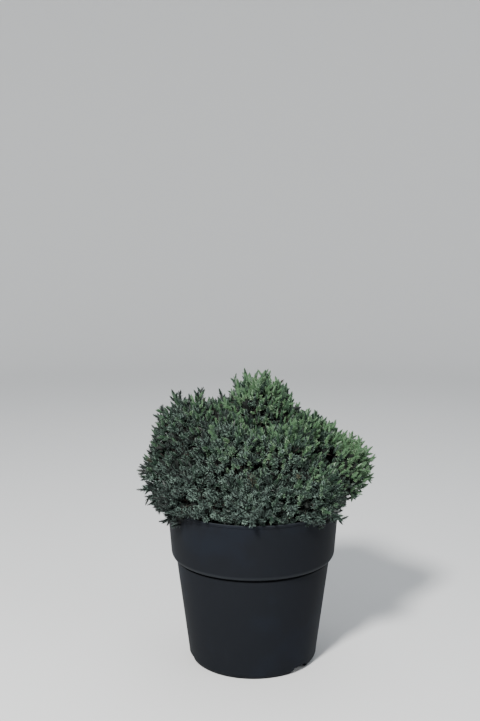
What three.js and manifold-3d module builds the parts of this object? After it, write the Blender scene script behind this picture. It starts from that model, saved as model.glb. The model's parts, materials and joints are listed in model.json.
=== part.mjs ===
// A dwarf blue star juniper in a round plastic nursery pot.
// Millimetres, +Z up. The origin is the middle of the pot's flat underside, and the
// viewer's side of the plant is -Y.
import * as THREE from 'three';
import { mergeVertices } from 'three/addons/utils/BufferGeometryUtils.js';
import Module from 'manifold-3d';

const wasm = await Module();
wasm.setup();

// ---- Driving dimensions -------------------------------------------------------

const GAP = 0.3; // air left between solids that touch on the real plant

const POT_HEIGHT = 240;
const RIM_RADIUS = 128.5;
const COLLAR_FOOT_RADIUS = 122; // the collar just above its rounded lower edge
const COLLAR_BOTTOM = 158; // height of the collar's lower edge
const COLLAR_ROUND = 9; // height of that rounded edge
const COLLAR_TUCK = 6; // how far it pulls in under the collar
const BODY_TOP_RADIUS = 114.5; // the wall under the collar
const BODY_FOOT_RADIUS = 96.5;
const BODY_FOOT_HEIGHT = 14;
const FOOT_ROUND = 1.5; // height of the rounded edge round the underside
const UNDERSIDE_RADIUS = 91.5;
const POT_WALL = 2.4;
const POT_SIDES = 48;
const LIP_ROUND = 1.6;

const NOTCH_COUNT = 3; // drain notches in the bottom edge
const NOTCH_BEARING = -44; // degrees from +X to the first one
const NOTCH_WIDTH = 36;
const NOTCH_HEIGHT = 9;
const NOTCH_SLOPE = 6; // how far each end of a notch leans in
const NOTCH_DEPTH = 16;

const SOIL_TOP = 222;
const SOIL_SAG = 3; // the soil lies a little lower along the wall
const SOIL_FLAT_RADIUS = 34; // level ground round the stem

const STEM_HEIGHT = 98; // from the soil to the top mass
const STEM_FLARE_RADIUS = 17;
const STEM_RADIUS = 9;
const STEM_TIP_RADIUS = 3.4;
const FLARE_FADE = 16; // how fast the root flare fades, in stem lengths
const STEM_LEAN = 12; // sideways shift of the stem's tip
const STEM_SIDES = 10;
const STEM_STEPS = 10;

const BOUGH_RADIUS = 3.8;
const BOUGH_TIP_RADIUS = 2;
const BOUGH_SIDES = 5;
const BOUGH_STEPS = 3;
const TWIG_RADIUS = 1.7; // the stem of a mass, where it leaves its bough
const STEM_SHOWING = 2; // how far that stem stands out of the mass's heart
const BOUGH_FORK_STEP = 15; // height between one set of forks and the next
const LOW_FORK_HEIGHT = 12; // lowest forks, above the soil
const HIGH_FORK_HEIGHT = 44; // forks of the upper boughs, above the soil
const BOUGH_DIP = 10; // how far a bough bows down on its way out

const HEART_SHARE = 0.5; // size of a mass's dense heart against its whole
const HEART_DETAIL = 1;
const HEART_FILL = 1.3; // how fast it widens where its space is cut short
const HEART_LUMPS = 0.05; // how lumpy it is
const LUMP_WAVES = [31, 29, 37]; // how close together the lumps are
const HEART_GAP = 1.2; // from a heart to the middle of the seam between two masses
const BARE_RADIUS = 58; // the bare space round the stem, across and up from the soil
const BARE_HEIGHT = 84;
const RIM_CLEARANCE = 3; // between foliage and the pot's rim
const SOIL_CLEARANCE = 2;
const DROOP_LIMIT = 216; // no shoot hangs lower than this outside the pot
const LEAST_FILL = 0.6; // a shoot that can't reach this far out of its mass isn't grown
const SHOOTS_TRIED = 63; // directions tried in each mass
const SHADED = -0.25; // shoots that face further in than this aren't grown
const SHOOT_SHARES = [1, 0.84, 0.7]; // lengths tried until a shoot has room
const SHOOT_LIFT = 0.38; // how strongly a shoot turns up
const LEADER_LIFT = 0.12; // the same for the leader, the one shoot that grows furthest
const LEAST_VIGOUR = 0.88; // length of the weakest shoots against the leader's
const SHOOT_DEPTH = 9; // how far a shoot's root is sunk in the heart
const SHOOT_GAP = 0.5; // from a shoot to the middle of the seam between two masses
const SKIN_SLACK = 1.04; // how far a shoot's needles may stand out of its mass's skin
const LIMB_CLEARANCE = 1.5; // between a shoot and a bough or the stem
const LIMB_TEST_POINTS = 40;
const EDGE_SHARES = [0.2, 0.4, 0.6, 0.8]; // where a shoot's edges are tested against the pot
const SEED = 41;
const SEED_STEP = 97;

// A shoot's rings of three corners: distance along it and radius, against its length, and
// the turn in sixths.
const SHOOT_RINGS = {
  core: { along: 0.4, radius: 0.125, turns: [0, 2, 4] },
  needles: { along: 0.66, radius: 0.21, turns: [1, 3, 5] },
};

// The masses of foliage: bearing in degrees from +X, distance out from the pot's
// axis, height of the middle, radius across and radius up.
const CROWN = [
  { name: 'foliage_top', bearing: 20, out: 12, height: 367, wide: 60, tall: 70 },
  { name: 'foliage_upper_left', bearing: 180, out: 88, height: 336, wide: 70, tall: 68 },
  { name: 'foliage_upper_front_left', bearing: -118, out: 66, height: 316, wide: 66, tall: 66 },
  { name: 'foliage_upper_front_right', bearing: -54, out: 64, height: 310, wide: 64, tall: 64 },
  { name: 'foliage_upper_right', bearing: 2, out: 72, height: 320, wide: 62, tall: 62 },
  { name: 'foliage_upper_back_right', bearing: 62, out: 72, height: 316, wide: 66, tall: 66 },
  { name: 'foliage_upper_back_left', bearing: 124, out: 74, height: 322, wide: 66, tall: 67 },
  { name: 'foliage_left', bearing: 182, out: 108, height: 277, wide: 66, tall: 71 },
  { name: 'foliage_front_left', bearing: -139, out: 102, height: 264, wide: 65, tall: 60 },
  { name: 'foliage_front', bearing: -90, out: 90, height: 262, wide: 61, tall: 56 },
  { name: 'foliage_front_right', bearing: -42, out: 100, height: 264, wide: 65, tall: 59 },
  { name: 'foliage_right', bearing: 0, out: 126, height: 290, wide: 62, tall: 57 },
  { name: 'foliage_back_right', bearing: 46, out: 104, height: 270, wide: 66, tall: 62 },
  { name: 'foliage_back', bearing: 92, out: 104, height: 272, wide: 66, tall: 62 },
  { name: 'foliage_back_left', bearing: 137, out: 104, height: 272, wide: 66, tall: 64 },
];
const LOWER_MASSES_FROM = 7; // the masses before this one sit on the upper boughs
const CROWN_MIDDLE_HEIGHT = 272;

// ---- Finishes -------------------------------------------------------------------

const finish = (color, roughness) => new THREE.MeshStandardMaterial({ color, roughness, metalness: 0 });
const potPlastic = finish(0x26292e, 0.55);
const pottingSoil = finish(0x2b211a, 0.95);
const bark = finish(0x5b4434, 0.9);
const blueNeedles = finish(0x5d7365, 0.75);
const sunlitNeedles = finish(0x6f8a64, 0.75);

// ---- Solids ---------------------------------------------------------------------

// Joins a geometry's shared corners and drops the triangles that have no area.
function welded(geometry) {
  const bare = new THREE.BufferGeometry();
  bare.setAttribute('position', geometry.getAttribute('position').clone());
  if (geometry.index) bare.setIndex(geometry.index.clone());
  const merged = mergeVertices(bare, 1e-4);
  const corners = merged.index.array;
  const kept = [];
  for (let i = 0; i < corners.length; i += 3) {
    const [a, b, c] = [corners[i], corners[i + 1], corners[i + 2]];
    if (a !== b && b !== c && c !== a) kept.push(a, b, c);
  }
  merged.setIndex(kept);
  return merged;
}

function solidOf(geometry) {
  const shape = welded(geometry);
  const vertProperties = new Float32Array(shape.getAttribute('position').array);
  const triVerts = new Uint32Array(shape.index.array);
  return new wasm.Manifold(new wasm.Mesh({ numProp: 3, vertProperties, triVerts }));
}

function geometryOf(solid) {
  const mesh = solid.getMesh();
  const geometry = new THREE.BufferGeometry();
  geometry.setAttribute('position', new THREE.BufferAttribute(new Float32Array(mesh.vertProperties), 3));
  geometry.setIndex(new THREE.BufferAttribute(new Uint32Array(mesh.triVerts), 1));
  geometry.computeVertexNormals();
  return geometry;
}

// The largest piece of a solid: loose scraps go, and sealed hollows are filled.
function wholePiece(solid) {
  const pieces = solid.decompose();
  return pieces.reduce((best, piece) => (piece.volume() > best.volume() ? piece : best));
}

function named(name, geometry, material) {
  const mesh = new THREE.Mesh(geometry, material);
  mesh.name = name;
  return mesh;
}

const radians = THREE.MathUtils.degToRad;
const UP = new THREE.Vector3(0, 0, 1);
const SIDEWAYS = new THREE.Vector3(1, 0.3, 0); // no shoot grows along this line
const crownMiddle = new THREE.Vector3(0, 0, CROWN_MIDDLE_HEIGHT);

// A seeded stream of numbers from 0 to 1.
function stream(seed) {
  let state = seed >>> 0;
  return () => {
    state = (Math.imul(state, 1664525) + 1013904223) >>> 0;
    return state / 4294967296;
  };
}

// ---- Pot and soil ---------------------------------------------------------------

function turned(points, sides) {
  return new THREE.LatheGeometry(points, sides).rotateX(Math.PI / 2);
}

function potProfile() {
  const path = new THREE.Path();
  const inner = -POT_WALL;
  path.moveTo(0, 0);
  path.lineTo(UNDERSIDE_RADIUS, 0);
  path.quadraticCurveTo(BODY_FOOT_RADIUS - 1, FOOT_ROUND, BODY_FOOT_RADIUS, BODY_FOOT_HEIGHT);
  path.lineTo(BODY_TOP_RADIUS, COLLAR_BOTTOM);
  path.lineTo(COLLAR_FOOT_RADIUS - COLLAR_TUCK, COLLAR_BOTTOM);
  path.quadraticCurveTo(
    COLLAR_FOOT_RADIUS, COLLAR_BOTTOM,
    COLLAR_FOOT_RADIUS, COLLAR_BOTTOM + COLLAR_ROUND,
  );
  path.lineTo(RIM_RADIUS, POT_HEIGHT - LIP_ROUND);
  path.lineTo(RIM_RADIUS - LIP_ROUND / 2, POT_HEIGHT);
  path.lineTo(RIM_RADIUS + inner, POT_HEIGHT);
  path.lineTo(COLLAR_FOOT_RADIUS + inner, COLLAR_BOTTOM + COLLAR_ROUND);
  path.lineTo(BODY_TOP_RADIUS + inner, COLLAR_BOTTOM + 2 * POT_WALL);
  path.lineTo(BODY_FOOT_RADIUS + inner, BODY_FOOT_HEIGHT);
  path.lineTo(UNDERSIDE_RADIUS + inner, POT_WALL);
  path.lineTo(0, POT_WALL);
  return path.getPoints(3);
}

function drainNotch(bearing) {
  const outline = new THREE.Shape();
  const half = NOTCH_WIDTH / 2;
  outline.moveTo(-half, -1);
  outline.lineTo(half, -1);
  outline.lineTo(half - NOTCH_SLOPE, NOTCH_HEIGHT);
  outline.lineTo(NOTCH_SLOPE - half, NOTCH_HEIGHT);
  const block = new THREE.ExtrudeGeometry(outline, { depth: NOTCH_DEPTH, bevelEnabled: false });
  block.rotateX(Math.PI / 2); // outline upright, and the depth along -Y
  block.rotateZ(Math.PI / 2); // the depth along +X
  block.translate(UNDERSIDE_RADIUS - NOTCH_DEPTH / 2, 0, 0);
  return block.rotateZ(radians(bearing));
}

function makePot() {
  let pot = solidOf(turned(potProfile(), POT_SIDES));
  for (let i = 0; i < NOTCH_COUNT; i += 1) {
    pot = pot.subtract(solidOf(drainNotch(NOTCH_BEARING + (360 / NOTCH_COUNT) * i)));
  }
  return named('pot', geometryOf(pot), potPlastic);
}

function makeSoil() {
  const skin = POT_WALL + GAP;
  const collarSlope = (RIM_RADIUS - COLLAR_FOOT_RADIUS) / (POT_HEIGHT - COLLAR_BOTTOM - COLLAR_ROUND);
  const shelf = COLLAR_BOTTOM + COLLAR_ROUND;
  const edge = SOIL_TOP - SOIL_SAG;
  const points = [
    [0, skin],
    [UNDERSIDE_RADIUS - skin - GAP, skin],
    [BODY_FOOT_RADIUS - skin - GAP, BODY_FOOT_HEIGHT],
    [BODY_TOP_RADIUS - skin - GAP, COLLAR_BOTTOM + 2 * POT_WALL],
    [COLLAR_FOOT_RADIUS - skin - GAP, shelf + GAP],
    [COLLAR_FOOT_RADIUS - skin - GAP + collarSlope * (edge - shelf), edge],
    [SOIL_FLAT_RADIUS, SOIL_TOP],
    [0, SOIL_TOP],
  ];
  const profile = points.map(([radius, height]) => new THREE.Vector2(radius, height));
  return named('soil', welded(turned(profile, POT_SIDES / 2)), pottingSoil);
}

// ---- Stem and boughs ------------------------------------------------------------

// A limb that tapers along a curve, closed at both ends.
function taperedLimb(curve, radiusAt, sides, steps) {
  const rod = new THREE.CylinderGeometry(1, 1, 1, sides, steps);
  const place = rod.getAttribute('position');
  const frames = curve.computeFrenetFrames(steps, false);
  const point = new THREE.Vector3();
  for (let i = 0; i < place.count; i += 1) {
    const along = place.getY(i) + 0.5;
    const frame = Math.round(along * steps);
    const radius = radiusAt(along);
    curve.getPointAt(along, point);
    point.addScaledVector(frames.normals[frame], place.getX(i) * radius);
    point.addScaledVector(frames.binormals[frame], -place.getZ(i) * radius);
    place.setXYZ(i, point.x, point.y, point.z);
  }
  return rod;
}

const stemFoot = new THREE.Vector3(0, 0, SOIL_TOP + GAP);
const stemCurve = new THREE.CatmullRomCurve3([
  stemFoot,
  new THREE.Vector3(0, 0, SOIL_TOP + STEM_HEIGHT * 0.2),
  new THREE.Vector3(-STEM_LEAN / 3, STEM_LEAN / 4, SOIL_TOP + STEM_HEIGHT * 0.6),
  new THREE.Vector3(STEM_LEAN, STEM_LEAN / 3, SOIL_TOP + STEM_HEIGHT),
]);

function stemRadius(along) {
  const flare = (STEM_FLARE_RADIUS - STEM_RADIUS) * Math.exp(-along * FLARE_FADE);
  return STEM_RADIUS + (STEM_TIP_RADIUS - STEM_RADIUS) * along + flare;
}

function middleOf(mass) {
  const turn = radians(mass.bearing);
  return new THREE.Vector3(mass.out * Math.cos(turn), mass.out * Math.sin(turn), mass.height);
}

for (const mass of CROWN) mass.middle = middleOf(mass);

// Where a bough leaves the stem: forks climb the stem in turn, so that neighbours
// leave it at different heights.
function forkHeight(index) {
  const upper = index < LOWER_MASSES_FROM;
  const start = upper ? HIGH_FORK_HEIGHT : LOW_FORK_HEIGHT;
  return start + (index % 2) * BOUGH_FORK_STEP;
}

// The curve of a bough from inside the stem to the edge of its mass's heart.
function boughCurve(mass, index) {
  const root = stemCurve.getPointAt(forkHeight(index) / STEM_HEIGHT);
  const inward = mass.middle.clone().sub(root);
  const span = inward.length();
  inward.normalize();
  const heart = heartRadius(mass, inward.clone().negate());
  const tip = root.clone().addScaledVector(inward, span - heart - STEM_SHOWING);
  const bow = root.clone().lerp(tip, 0.5).addScaledVector(UP, -BOUGH_DIP / 2);
  return new THREE.QuadraticBezierCurve3(root, bow, tip);
}

function boughRadius(along) {
  return BOUGH_RADIUS + (BOUGH_TIP_RADIUS - BOUGH_RADIUS) * along;
}

// ---- Foliage --------------------------------------------------------------------

// How far a point is out of the middle of a mass: 0 in its middle, 1 at its skin.
function fillOf(mass, point) {
  const x = (point.x - mass.middle.x) / mass.wide;
  const y = (point.y - mass.middle.y) / mass.wide;
  const z = (point.z - mass.middle.z) / mass.tall;
  return Math.hypot(x, y, z);
}

function clearOfPot(point) {
  const radius = Math.hypot(point.x, point.y);
  if (radius < RIM_RADIUS - POT_WALL - 2 * RIM_CLEARANCE) return point.z > SOIL_TOP + SOIL_CLEARANCE;
  if (radius < RIM_RADIUS + RIM_CLEARANCE) return point.z > POT_HEIGHT + RIM_CLEARANCE;
  return point.z > DROOP_LIMIT;
}

function inBareSpace(point) {
  return Math.hypot(point.x / BARE_RADIUS, point.y / BARE_RADIUS, (point.z - SOIL_TOP) / BARE_HEIGHT) < 1;
}

// Whether a point lies in the space that a mass keeps to: inside its own skin, nearer to
// it than to any other mass by the margin, and clear of the pot and the bare space.
function inSpace(mass, point, margin, skin = 1) {
  const own = fillOf(mass, point);
  if (own > skin || !clearOfPot(point) || inBareSpace(point)) return false;
  return CROWN.every((other) => {
    if (other === mass) return true;
    const size = Math.min(mass.wide, mass.tall, other.wide, other.tall);
    return (fillOf(other, point) - own) * (size / 2) >= margin;
  });
}

// How far a mass reaches from its middle in one direction.
function reachOf(mass, direction, margin) {
  const point = new THREE.Vector3();
  let reach = 0;
  while (inSpace(mass, point.copy(mass.middle).addScaledVector(direction, reach + 1), margin)) {
    reach += 1;
  }
  return reach;
}

// The radius of the dense heart of a mass: a lumpy share of its skin, which fills its
// space the more, the closer another mass or the pot is.
function heartRadius(mass, direction) {
  const skin = 1 / Math.hypot(direction.x / mass.wide, direction.y / mass.wide, direction.z / mass.tall);
  const [x, y, z] = [LUMP_WAVES[0] * direction.x, LUMP_WAVES[1] * direction.y, LUMP_WAVES[2] * direction.z];
  const wave = Math.sin(x + mass.out) * Math.cos(y - z);
  const reach = reachOf(mass, direction, HEART_GAP);
  const share = HEART_SHARE + HEART_FILL * (1 - Math.min(reach / skin, 1)) + HEART_LUMPS * wave;
  return reach * Math.min(share, 1);
}

function heartGeometry(mass) {
  const ball = new THREE.IcosahedronGeometry(1, HEART_DETAIL);
  const place = ball.getAttribute('position');
  const direction = new THREE.Vector3();
  for (let i = 0; i < place.count; i += 1) {
    direction.fromBufferAttribute(place, i).normalize();
    const point = mass.middle.clone().addScaledVector(direction, heartRadius(mass, direction));
    place.setXYZ(i, point.x, point.y, point.z);
  }
  return ball;
}

// A shoot: a slim three-sided spindle from a pointed root to its tip, with a whorl of
// three needles drawn out of its upper faces.
function shootGeometry(root, tip) {
  const axis = tip.clone().sub(root);
  const length = axis.length();
  axis.normalize();
  const side = SIDEWAYS.clone().cross(axis).normalize();
  const across = new THREE.Vector3().crossVectors(axis, side);
  const corners = [];
  const put = (along, radius, sixth) => {
    const turn = (sixth * Math.PI) / 3;
    const point = root.clone().addScaledVector(axis, along * length);
    point.addScaledVector(side, Math.cos(turn) * radius * length);
    point.addScaledVector(across, Math.sin(turn) * radius * length);
    corners.push(point.x, point.y, point.z);
    return corners.length / 3 - 1;
  };
  const ringOf = ({ along, radius, turns }) => turns.map((sixth) => put(along, radius, sixth));
  const foot = put(0, 0, 0);
  const core = ringOf(SHOOT_RINGS.core);
  const needles = ringOf(SHOOT_RINGS.needles);
  const point = put(1, 0, 0);
  const faces = [];
  for (let k = 0; k < 3; k += 1) {
    const next = (k + 1) % 3;
    faces.push([foot, core[next], core[k]]);
    for (const [a, b] of [[core[k], core[next]], [core[next], point], [point, core[k]]]) {
      faces.push([a, b, needles[k]]);
    }
  }
  const geometry = new THREE.BufferGeometry();
  geometry.setAttribute('position', new THREE.Float32BufferAttribute(corners, 3));
  geometry.setIndex(faces.flat());
  return geometry;
}

// Whether the corners and edges of a shoot lie in its mass's space, clear of the pot and
// of the limbs.
function keepsToSpace(mass, geometry, limbs) {
  const place = geometry.getAttribute('position');
  const corners = Array.from({ length: place.count }, (_, i) => new THREE.Vector3().fromBufferAttribute(place, i));
  const point = new THREE.Vector3();
  return corners.every((corner, i) => {
    if (!inSpace(mass, corner, SHOOT_GAP, SKIN_SLACK) || touchesLimb(corner, limbs)) return false;
    return corners.slice(0, i).every((other) => (
      EDGE_SHARES.every((share) => clearOfPot(point.lerpVectors(corner, other, share)))
    ));
  });
}

function touchesLimb(point, limbs) {
  return limbs.some(({ points, radiusAt }) => points.some((spot, i) => {
    const room = radiusAt(i / (points.length - 1)) + LIMB_CLEARANCE;
    return spot.distanceToSquared(point) < room * room;
  }));
}

// Directions spread evenly over a ball by the golden angle.
function evenDirection(index, count) {
  const height = 1 - (2 * (index + 0.5)) / count;
  const turn = index * Math.PI * (3 - Math.sqrt(5));
  const radius = Math.sqrt(1 - height * height);
  return new THREE.Vector3(Math.cos(turn) * radius, Math.sin(turn) * radius, height);
}

// One mass: its dense heart, the short stem that runs in from its bough, and the
// shoots that stand out of the heart. The leader comes first, straight out from the crown.
function growMass(mass, index, limbs, boughTip) {
  const random = stream(SEED + index * SEED_STEP);
  const outward = mass.middle.clone().sub(crownMiddle).normalize();
  let solid = solidOf(heartGeometry(mass));
  const stemPath = new THREE.LineCurve3(boughTip, mass.middle);
  solid = solid.add(solidOf(taperedLimb(stemPath, () => TWIG_RADIUS, BOUGH_SIDES, 1)));
  for (let k = -1; k < SHOOTS_TRIED; k += 1) {
    const leader = k < 0;
    const direction = leader ? outward : evenDirection(k, SHOOTS_TRIED);
    const vigour = leader ? 1 : LEAST_VIGOUR + (1 - LEAST_VIGOUR) * random();
    if (direction.dot(outward) < SHADED) continue;
    const lift = leader ? LEADER_LIFT : SHOOT_LIFT;
    const lifted = direction.clone().addScaledVector(UP, lift).normalize();
    const reach = reachOf(mass, lifted, SHOOT_GAP) * vigour;
    const heart = heartRadius(mass, direction);
    const root = mass.middle.clone().addScaledVector(direction, heart - SHOOT_DEPTH);
    for (const share of SHOOT_SHARES) {
      const tip = mass.middle.clone().addScaledVector(lifted, reach * share);
      if (fillOf(mass, tip) < LEAST_FILL) break;
      const shoot = shootGeometry(root, tip);
      if (!keepsToSpace(mass, shoot, limbs)) continue;
      solid = solid.add(solidOf(shoot));
      break;
    }
  }
  return solid;
}

// ---- Assembly -------------------------------------------------------------------

const juniper = new THREE.Group();
juniper.add(makePot(), makeSoil());

const stem = taperedLimb(stemCurve, stemRadius, STEM_SIDES, STEM_STEPS);
const roomForStem = taperedLimb(stemCurve, (along) => stemRadius(along) + GAP, STEM_SIDES, STEM_STEPS);
const stemRoom = solidOf(roomForStem);
juniper.add(named('stem', welded(stem), bark));

const limbs = [{ points: stemCurve.getSpacedPoints(LIMB_TEST_POINTS), radiusAt: stemRadius }];
const boughs = CROWN.map((mass, index) => {
  if (index === 0) return { mass, index, tip: stemCurve.getPointAt(1), away: stemCurve.getTangentAt(1) };
  const curve = boughCurve(mass, index);
  limbs.push({ points: curve.getSpacedPoints(LIMB_TEST_POINTS), radiusAt: boughRadius });
  return { mass, index, curve, tip: curve.getPointAt(1), away: curve.getTangentAt(1) };
});

let limbRoom = stemRoom;
for (const { mass, curve } of boughs) {
  if (!curve) continue;
  const limb = solidOf(taperedLimb(curve, boughRadius, BOUGH_SIDES, BOUGH_STEPS)).subtract(stemRoom);
  const name = mass.name.replace('foliage', 'bough');
  juniper.add(named(name, geometryOf(wholePiece(limb)), bark));
  const room = taperedLimb(curve, (along) => boughRadius(along) + GAP, BOUGH_SIDES, BOUGH_STEPS);
  limbRoom = limbRoom.add(solidOf(room));
}

boughs.forEach(({ mass, index, tip, away }) => {
  const start = tip.clone().addScaledVector(away, GAP);
  const grown = growMass(mass, index, limbs, start).subtract(limbRoom);
  const material = index < LOWER_MASSES_FROM ? sunlitNeedles : blueNeedles;
  juniper.add(named(mass.name, geometryOf(wholePiece(grown)), material));
});

export default juniper;
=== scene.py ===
"""A dwarf juniper in its round nursery pot.

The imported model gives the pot, the soil, the stem, the boughs and the space of each mass
of foliage. This file grows twigs and needles in those spaces by the same rule, and gives
the pot, the soil and the bark their surfaces. It is laid out as an add-on and run as a
script. Lengths are in metres unless a name says otherwise.
"""

import json
import math

import bpy
import bmesh
import numpy as np
from mathutils import Matrix, Vector, noise

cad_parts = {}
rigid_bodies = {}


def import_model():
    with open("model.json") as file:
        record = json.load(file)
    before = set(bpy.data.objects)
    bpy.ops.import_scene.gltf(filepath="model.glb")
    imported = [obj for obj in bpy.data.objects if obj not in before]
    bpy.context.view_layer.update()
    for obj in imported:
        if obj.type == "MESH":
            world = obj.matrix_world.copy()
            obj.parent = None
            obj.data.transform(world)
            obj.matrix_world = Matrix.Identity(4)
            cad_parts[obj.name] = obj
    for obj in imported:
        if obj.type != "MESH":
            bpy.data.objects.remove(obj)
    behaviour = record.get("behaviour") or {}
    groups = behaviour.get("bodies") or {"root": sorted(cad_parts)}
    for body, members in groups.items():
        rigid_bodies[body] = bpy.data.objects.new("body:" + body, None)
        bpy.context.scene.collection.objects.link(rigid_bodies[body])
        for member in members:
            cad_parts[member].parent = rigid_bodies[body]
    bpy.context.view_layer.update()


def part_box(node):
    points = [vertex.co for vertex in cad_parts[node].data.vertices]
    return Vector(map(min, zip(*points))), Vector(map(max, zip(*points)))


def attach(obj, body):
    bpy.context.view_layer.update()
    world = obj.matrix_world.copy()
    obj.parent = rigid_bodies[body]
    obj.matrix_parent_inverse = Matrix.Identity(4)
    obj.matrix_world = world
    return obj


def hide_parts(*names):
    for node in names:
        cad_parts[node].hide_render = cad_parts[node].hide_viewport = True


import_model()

bl_info = {
    "name": "Potted dwarf juniper",
    "version": (1, 0, 0),
    "blender": (4, 5, 0),
    "location": "3D View > Sidebar > Juniper",
    "description": "Grows a dwarf juniper in a nursery pot round its construction model",
    "category": "Object",
}

MM = 0.001
POT_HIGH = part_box("pot")[1]
SOIL_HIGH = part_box("soil")[1]
STEM_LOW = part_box("stem")[0]

# ---- The spaces of the crown ------------------------------------------------------

# The masses of foliage: bearing in degrees from +X, distance out from the pot's axis,
# height of the middle, radius across and radius up, in millimetres.
CROWN = (
    ("top", 20, 12, 367, 60, 70),
    ("upper_left", 180, 88, 336, 70, 68),
    ("upper_front_left", -118, 66, 316, 66, 66),
    ("upper_front_right", -54, 64, 310, 64, 64),
    ("upper_right", 2, 72, 320, 62, 62),
    ("upper_back_right", 62, 72, 316, 66, 66),
    ("upper_back_left", 124, 74, 322, 66, 67),
    ("left", 182, 108, 277, 66, 71),
    ("front_left", -139, 102, 264, 65, 60),
    ("front", -90, 90, 262, 61, 56),
    ("front_right", -42, 100, 264, 65, 59),
    ("right", 0, 126, 290, 62, 57),
    ("back_right", 46, 104, 270, 66, 62),
    ("back", 92, 104, 272, 66, 62),
    ("back_left", 137, 104, 272, 66, 64),
)
LOWER_MASSES_FROM = 7
NAMES = [row[0] for row in CROWN]
MASS_NODES = ["foliage_" + name for name in NAMES]
MIDDLES = np.array([
    (out * math.cos(math.radians(bearing)), out * math.sin(math.radians(bearing)), height)
    for _, bearing, out, height, _, _ in CROWN
]) * MM
RADII = np.array([(wide, wide, tall) for *_, wide, tall in CROWN]) * MM
LEAST_RADII = RADII.min(axis=1)
SEAM_SCALE = np.minimum(LEAST_RADII[:, None], LEAST_RADII[None, :]) / 2
CROWN_MIDDLE = np.array((0.0, 0.0, 0.272))
CROWN_CORE = np.array((0.0, 0.0, 0.24))

SKIN_BLEND = 13  # how sharply the valleys between the masses show in the crown's skin
DEEPEST = 80 * MM  # depths in the crown are told up to this one
DEPTH_STEP = 4 * MM
LONGEST_REACH_MM = 90

POT_WALL = 2.4 * MM
RIM_CLEARANCE = 1.5 * MM
SOIL_CLEARANCE = 1.0 * MM
DROOP_LIMIT = 202 * MM  # no foliage hangs lower than this outside the pot
FRONT_SILL = 245 * MM  # the same in front, where the rim shows
FRONT_BEARING_DEG = -105
FRONT_EDGE = 0.72  # the sill rises from here on, as the cosine of the angle from the front
FRONT_FADE = 0.13
BARE_RADIUS = 50 * MM
BARE_HEIGHT = 76 * MM
HEART_SHARE = 0.5
HEART_FILL = 1.3
HEART_LUMPS = 0.05
HEART_GAP = 1.2 * MM
LUMP_WAVES = np.array((31, 29, 37))
FOLIAGE_SEAM = -5 * MM  # below 0, as foliage grows over the seam between two masses
UP = np.array((0.0, 0.0, 1.0))
ASKEW = (0.31, 0.94, 0.13)  # no limb grows along this line
GOLDEN_TURN = 3 - math.sqrt(5)  # the golden angle, in half turns


def unit(vector):
    return vector / np.linalg.norm(vector)


def ramp(value, start, width):
    """0 up to a start, and from there up to 1 over a width."""
    return np.clip((value - start) / width, 0, 1)


def stream(seed):
    """A seeded stream of numbers from 0 to 1."""
    state = seed
    while True:
        state = (state * 1664525 + 1013904223) % 2 ** 32
        yield state / 2 ** 32


def fills(points):
    """How far points are out of each mass's middle: 0 in the middle, 1 at its skin."""
    return np.linalg.norm((points[:, None, :] - MIDDLES) / RADII, axis=2)


def clear_of_pot(points):
    """Which points keep clear of the pot and the soil."""
    radius = np.hypot(points[:, 0], points[:, 1])
    rim = POT_HIGH.x
    inside = radius < rim - POT_WALL - RIM_CLEARANCE
    over_rim = ~inside & (radius < rim + RIM_CLEARANCE)
    bearing = math.radians(FRONT_BEARING_DEG)
    facing = (points[:, 0] * math.cos(bearing) + points[:, 1] * math.sin(bearing)) / radius
    sill = DROOP_LIMIT + (FRONT_SILL - DROOP_LIMIT) * ramp(facing, FRONT_EDGE, FRONT_FADE)
    floor = np.where(inside, SOIL_HIGH.z + SOIL_CLEARANCE, sill)
    floor = np.where(over_rim, POT_HIGH.z + RIM_CLEARANCE, floor)
    return points[:, 2] > floor


def in_bare_space(points):
    """The space round the stem that holds limbs and no foliage."""
    offset = (points - (0, 0, SOIL_HIGH.z)) / (BARE_RADIUS, BARE_RADIUS, BARE_HEIGHT)
    return np.linalg.norm(offset, axis=1) < 1


def in_space(index, points, margin, skin=1.0):
    """Which points lie in the space that a mass keeps to."""
    fill = fills(points)
    own = fill[:, index].copy()
    seam = (fill - own[:, None]) * SEAM_SCALE[index]
    seam[:, index] = np.inf
    kept = (own <= skin) & (seam.min(axis=1) >= margin)
    return kept & clear_of_pot(points) & ~in_bare_space(points)


def crown_field(points):
    """Above 0 inside the crown and below 0 outside it, with the valleys between its
    masses smoothed over."""
    return np.log(np.exp(SKIN_BLEND * (1 - fills(points))).sum(axis=1)) / SKIN_BLEND


def depth_in_crown(points):
    """How far points lie inside the crown, along the way out from its core."""
    way = points - CROWN_CORE
    way /= np.linalg.norm(way, axis=1)[:, None]
    depth = np.full(len(points), DEEPEST)
    for step in np.arange(DEEPEST, -MM, -DEPTH_STEP):
        depth[crown_field(points + way * step) < 0] = step
    return depth


def reach_of(index, direction, margin):
    """How far a mass reaches from its middle in one direction."""
    steps = np.arange(1, LONGEST_REACH_MM) * MM
    kept = in_space(index, MIDDLES[index] + steps[:, None] * direction, margin)
    return (len(steps) if kept.all() else int(np.argmin(kept))) * MM


def heart_radius(index, direction):
    """How far the dense heart of a mass reaches in one direction."""
    skin = 1 / np.linalg.norm(direction / RADII[index])
    waves = LUMP_WAVES * direction
    wave = math.sin(waves[0] + CROWN[index][2]) * math.cos(waves[1] - waves[2])
    reach = reach_of(index, direction, HEART_GAP)
    share = HEART_SHARE + HEART_FILL * (1 - min(reach / skin, 1)) + HEART_LUMPS * wave
    return reach * min(share, 1)


def even_direction(index, count):
    """Directions spread evenly over a ball by the golden angle."""
    height = 1 - 2 * (index + 0.5) / count
    turn = index * math.pi * GOLDEN_TURN
    radius = math.sqrt(1 - height * height)
    return np.array((math.cos(turn) * radius, math.sin(turn) * radius, height))


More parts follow.
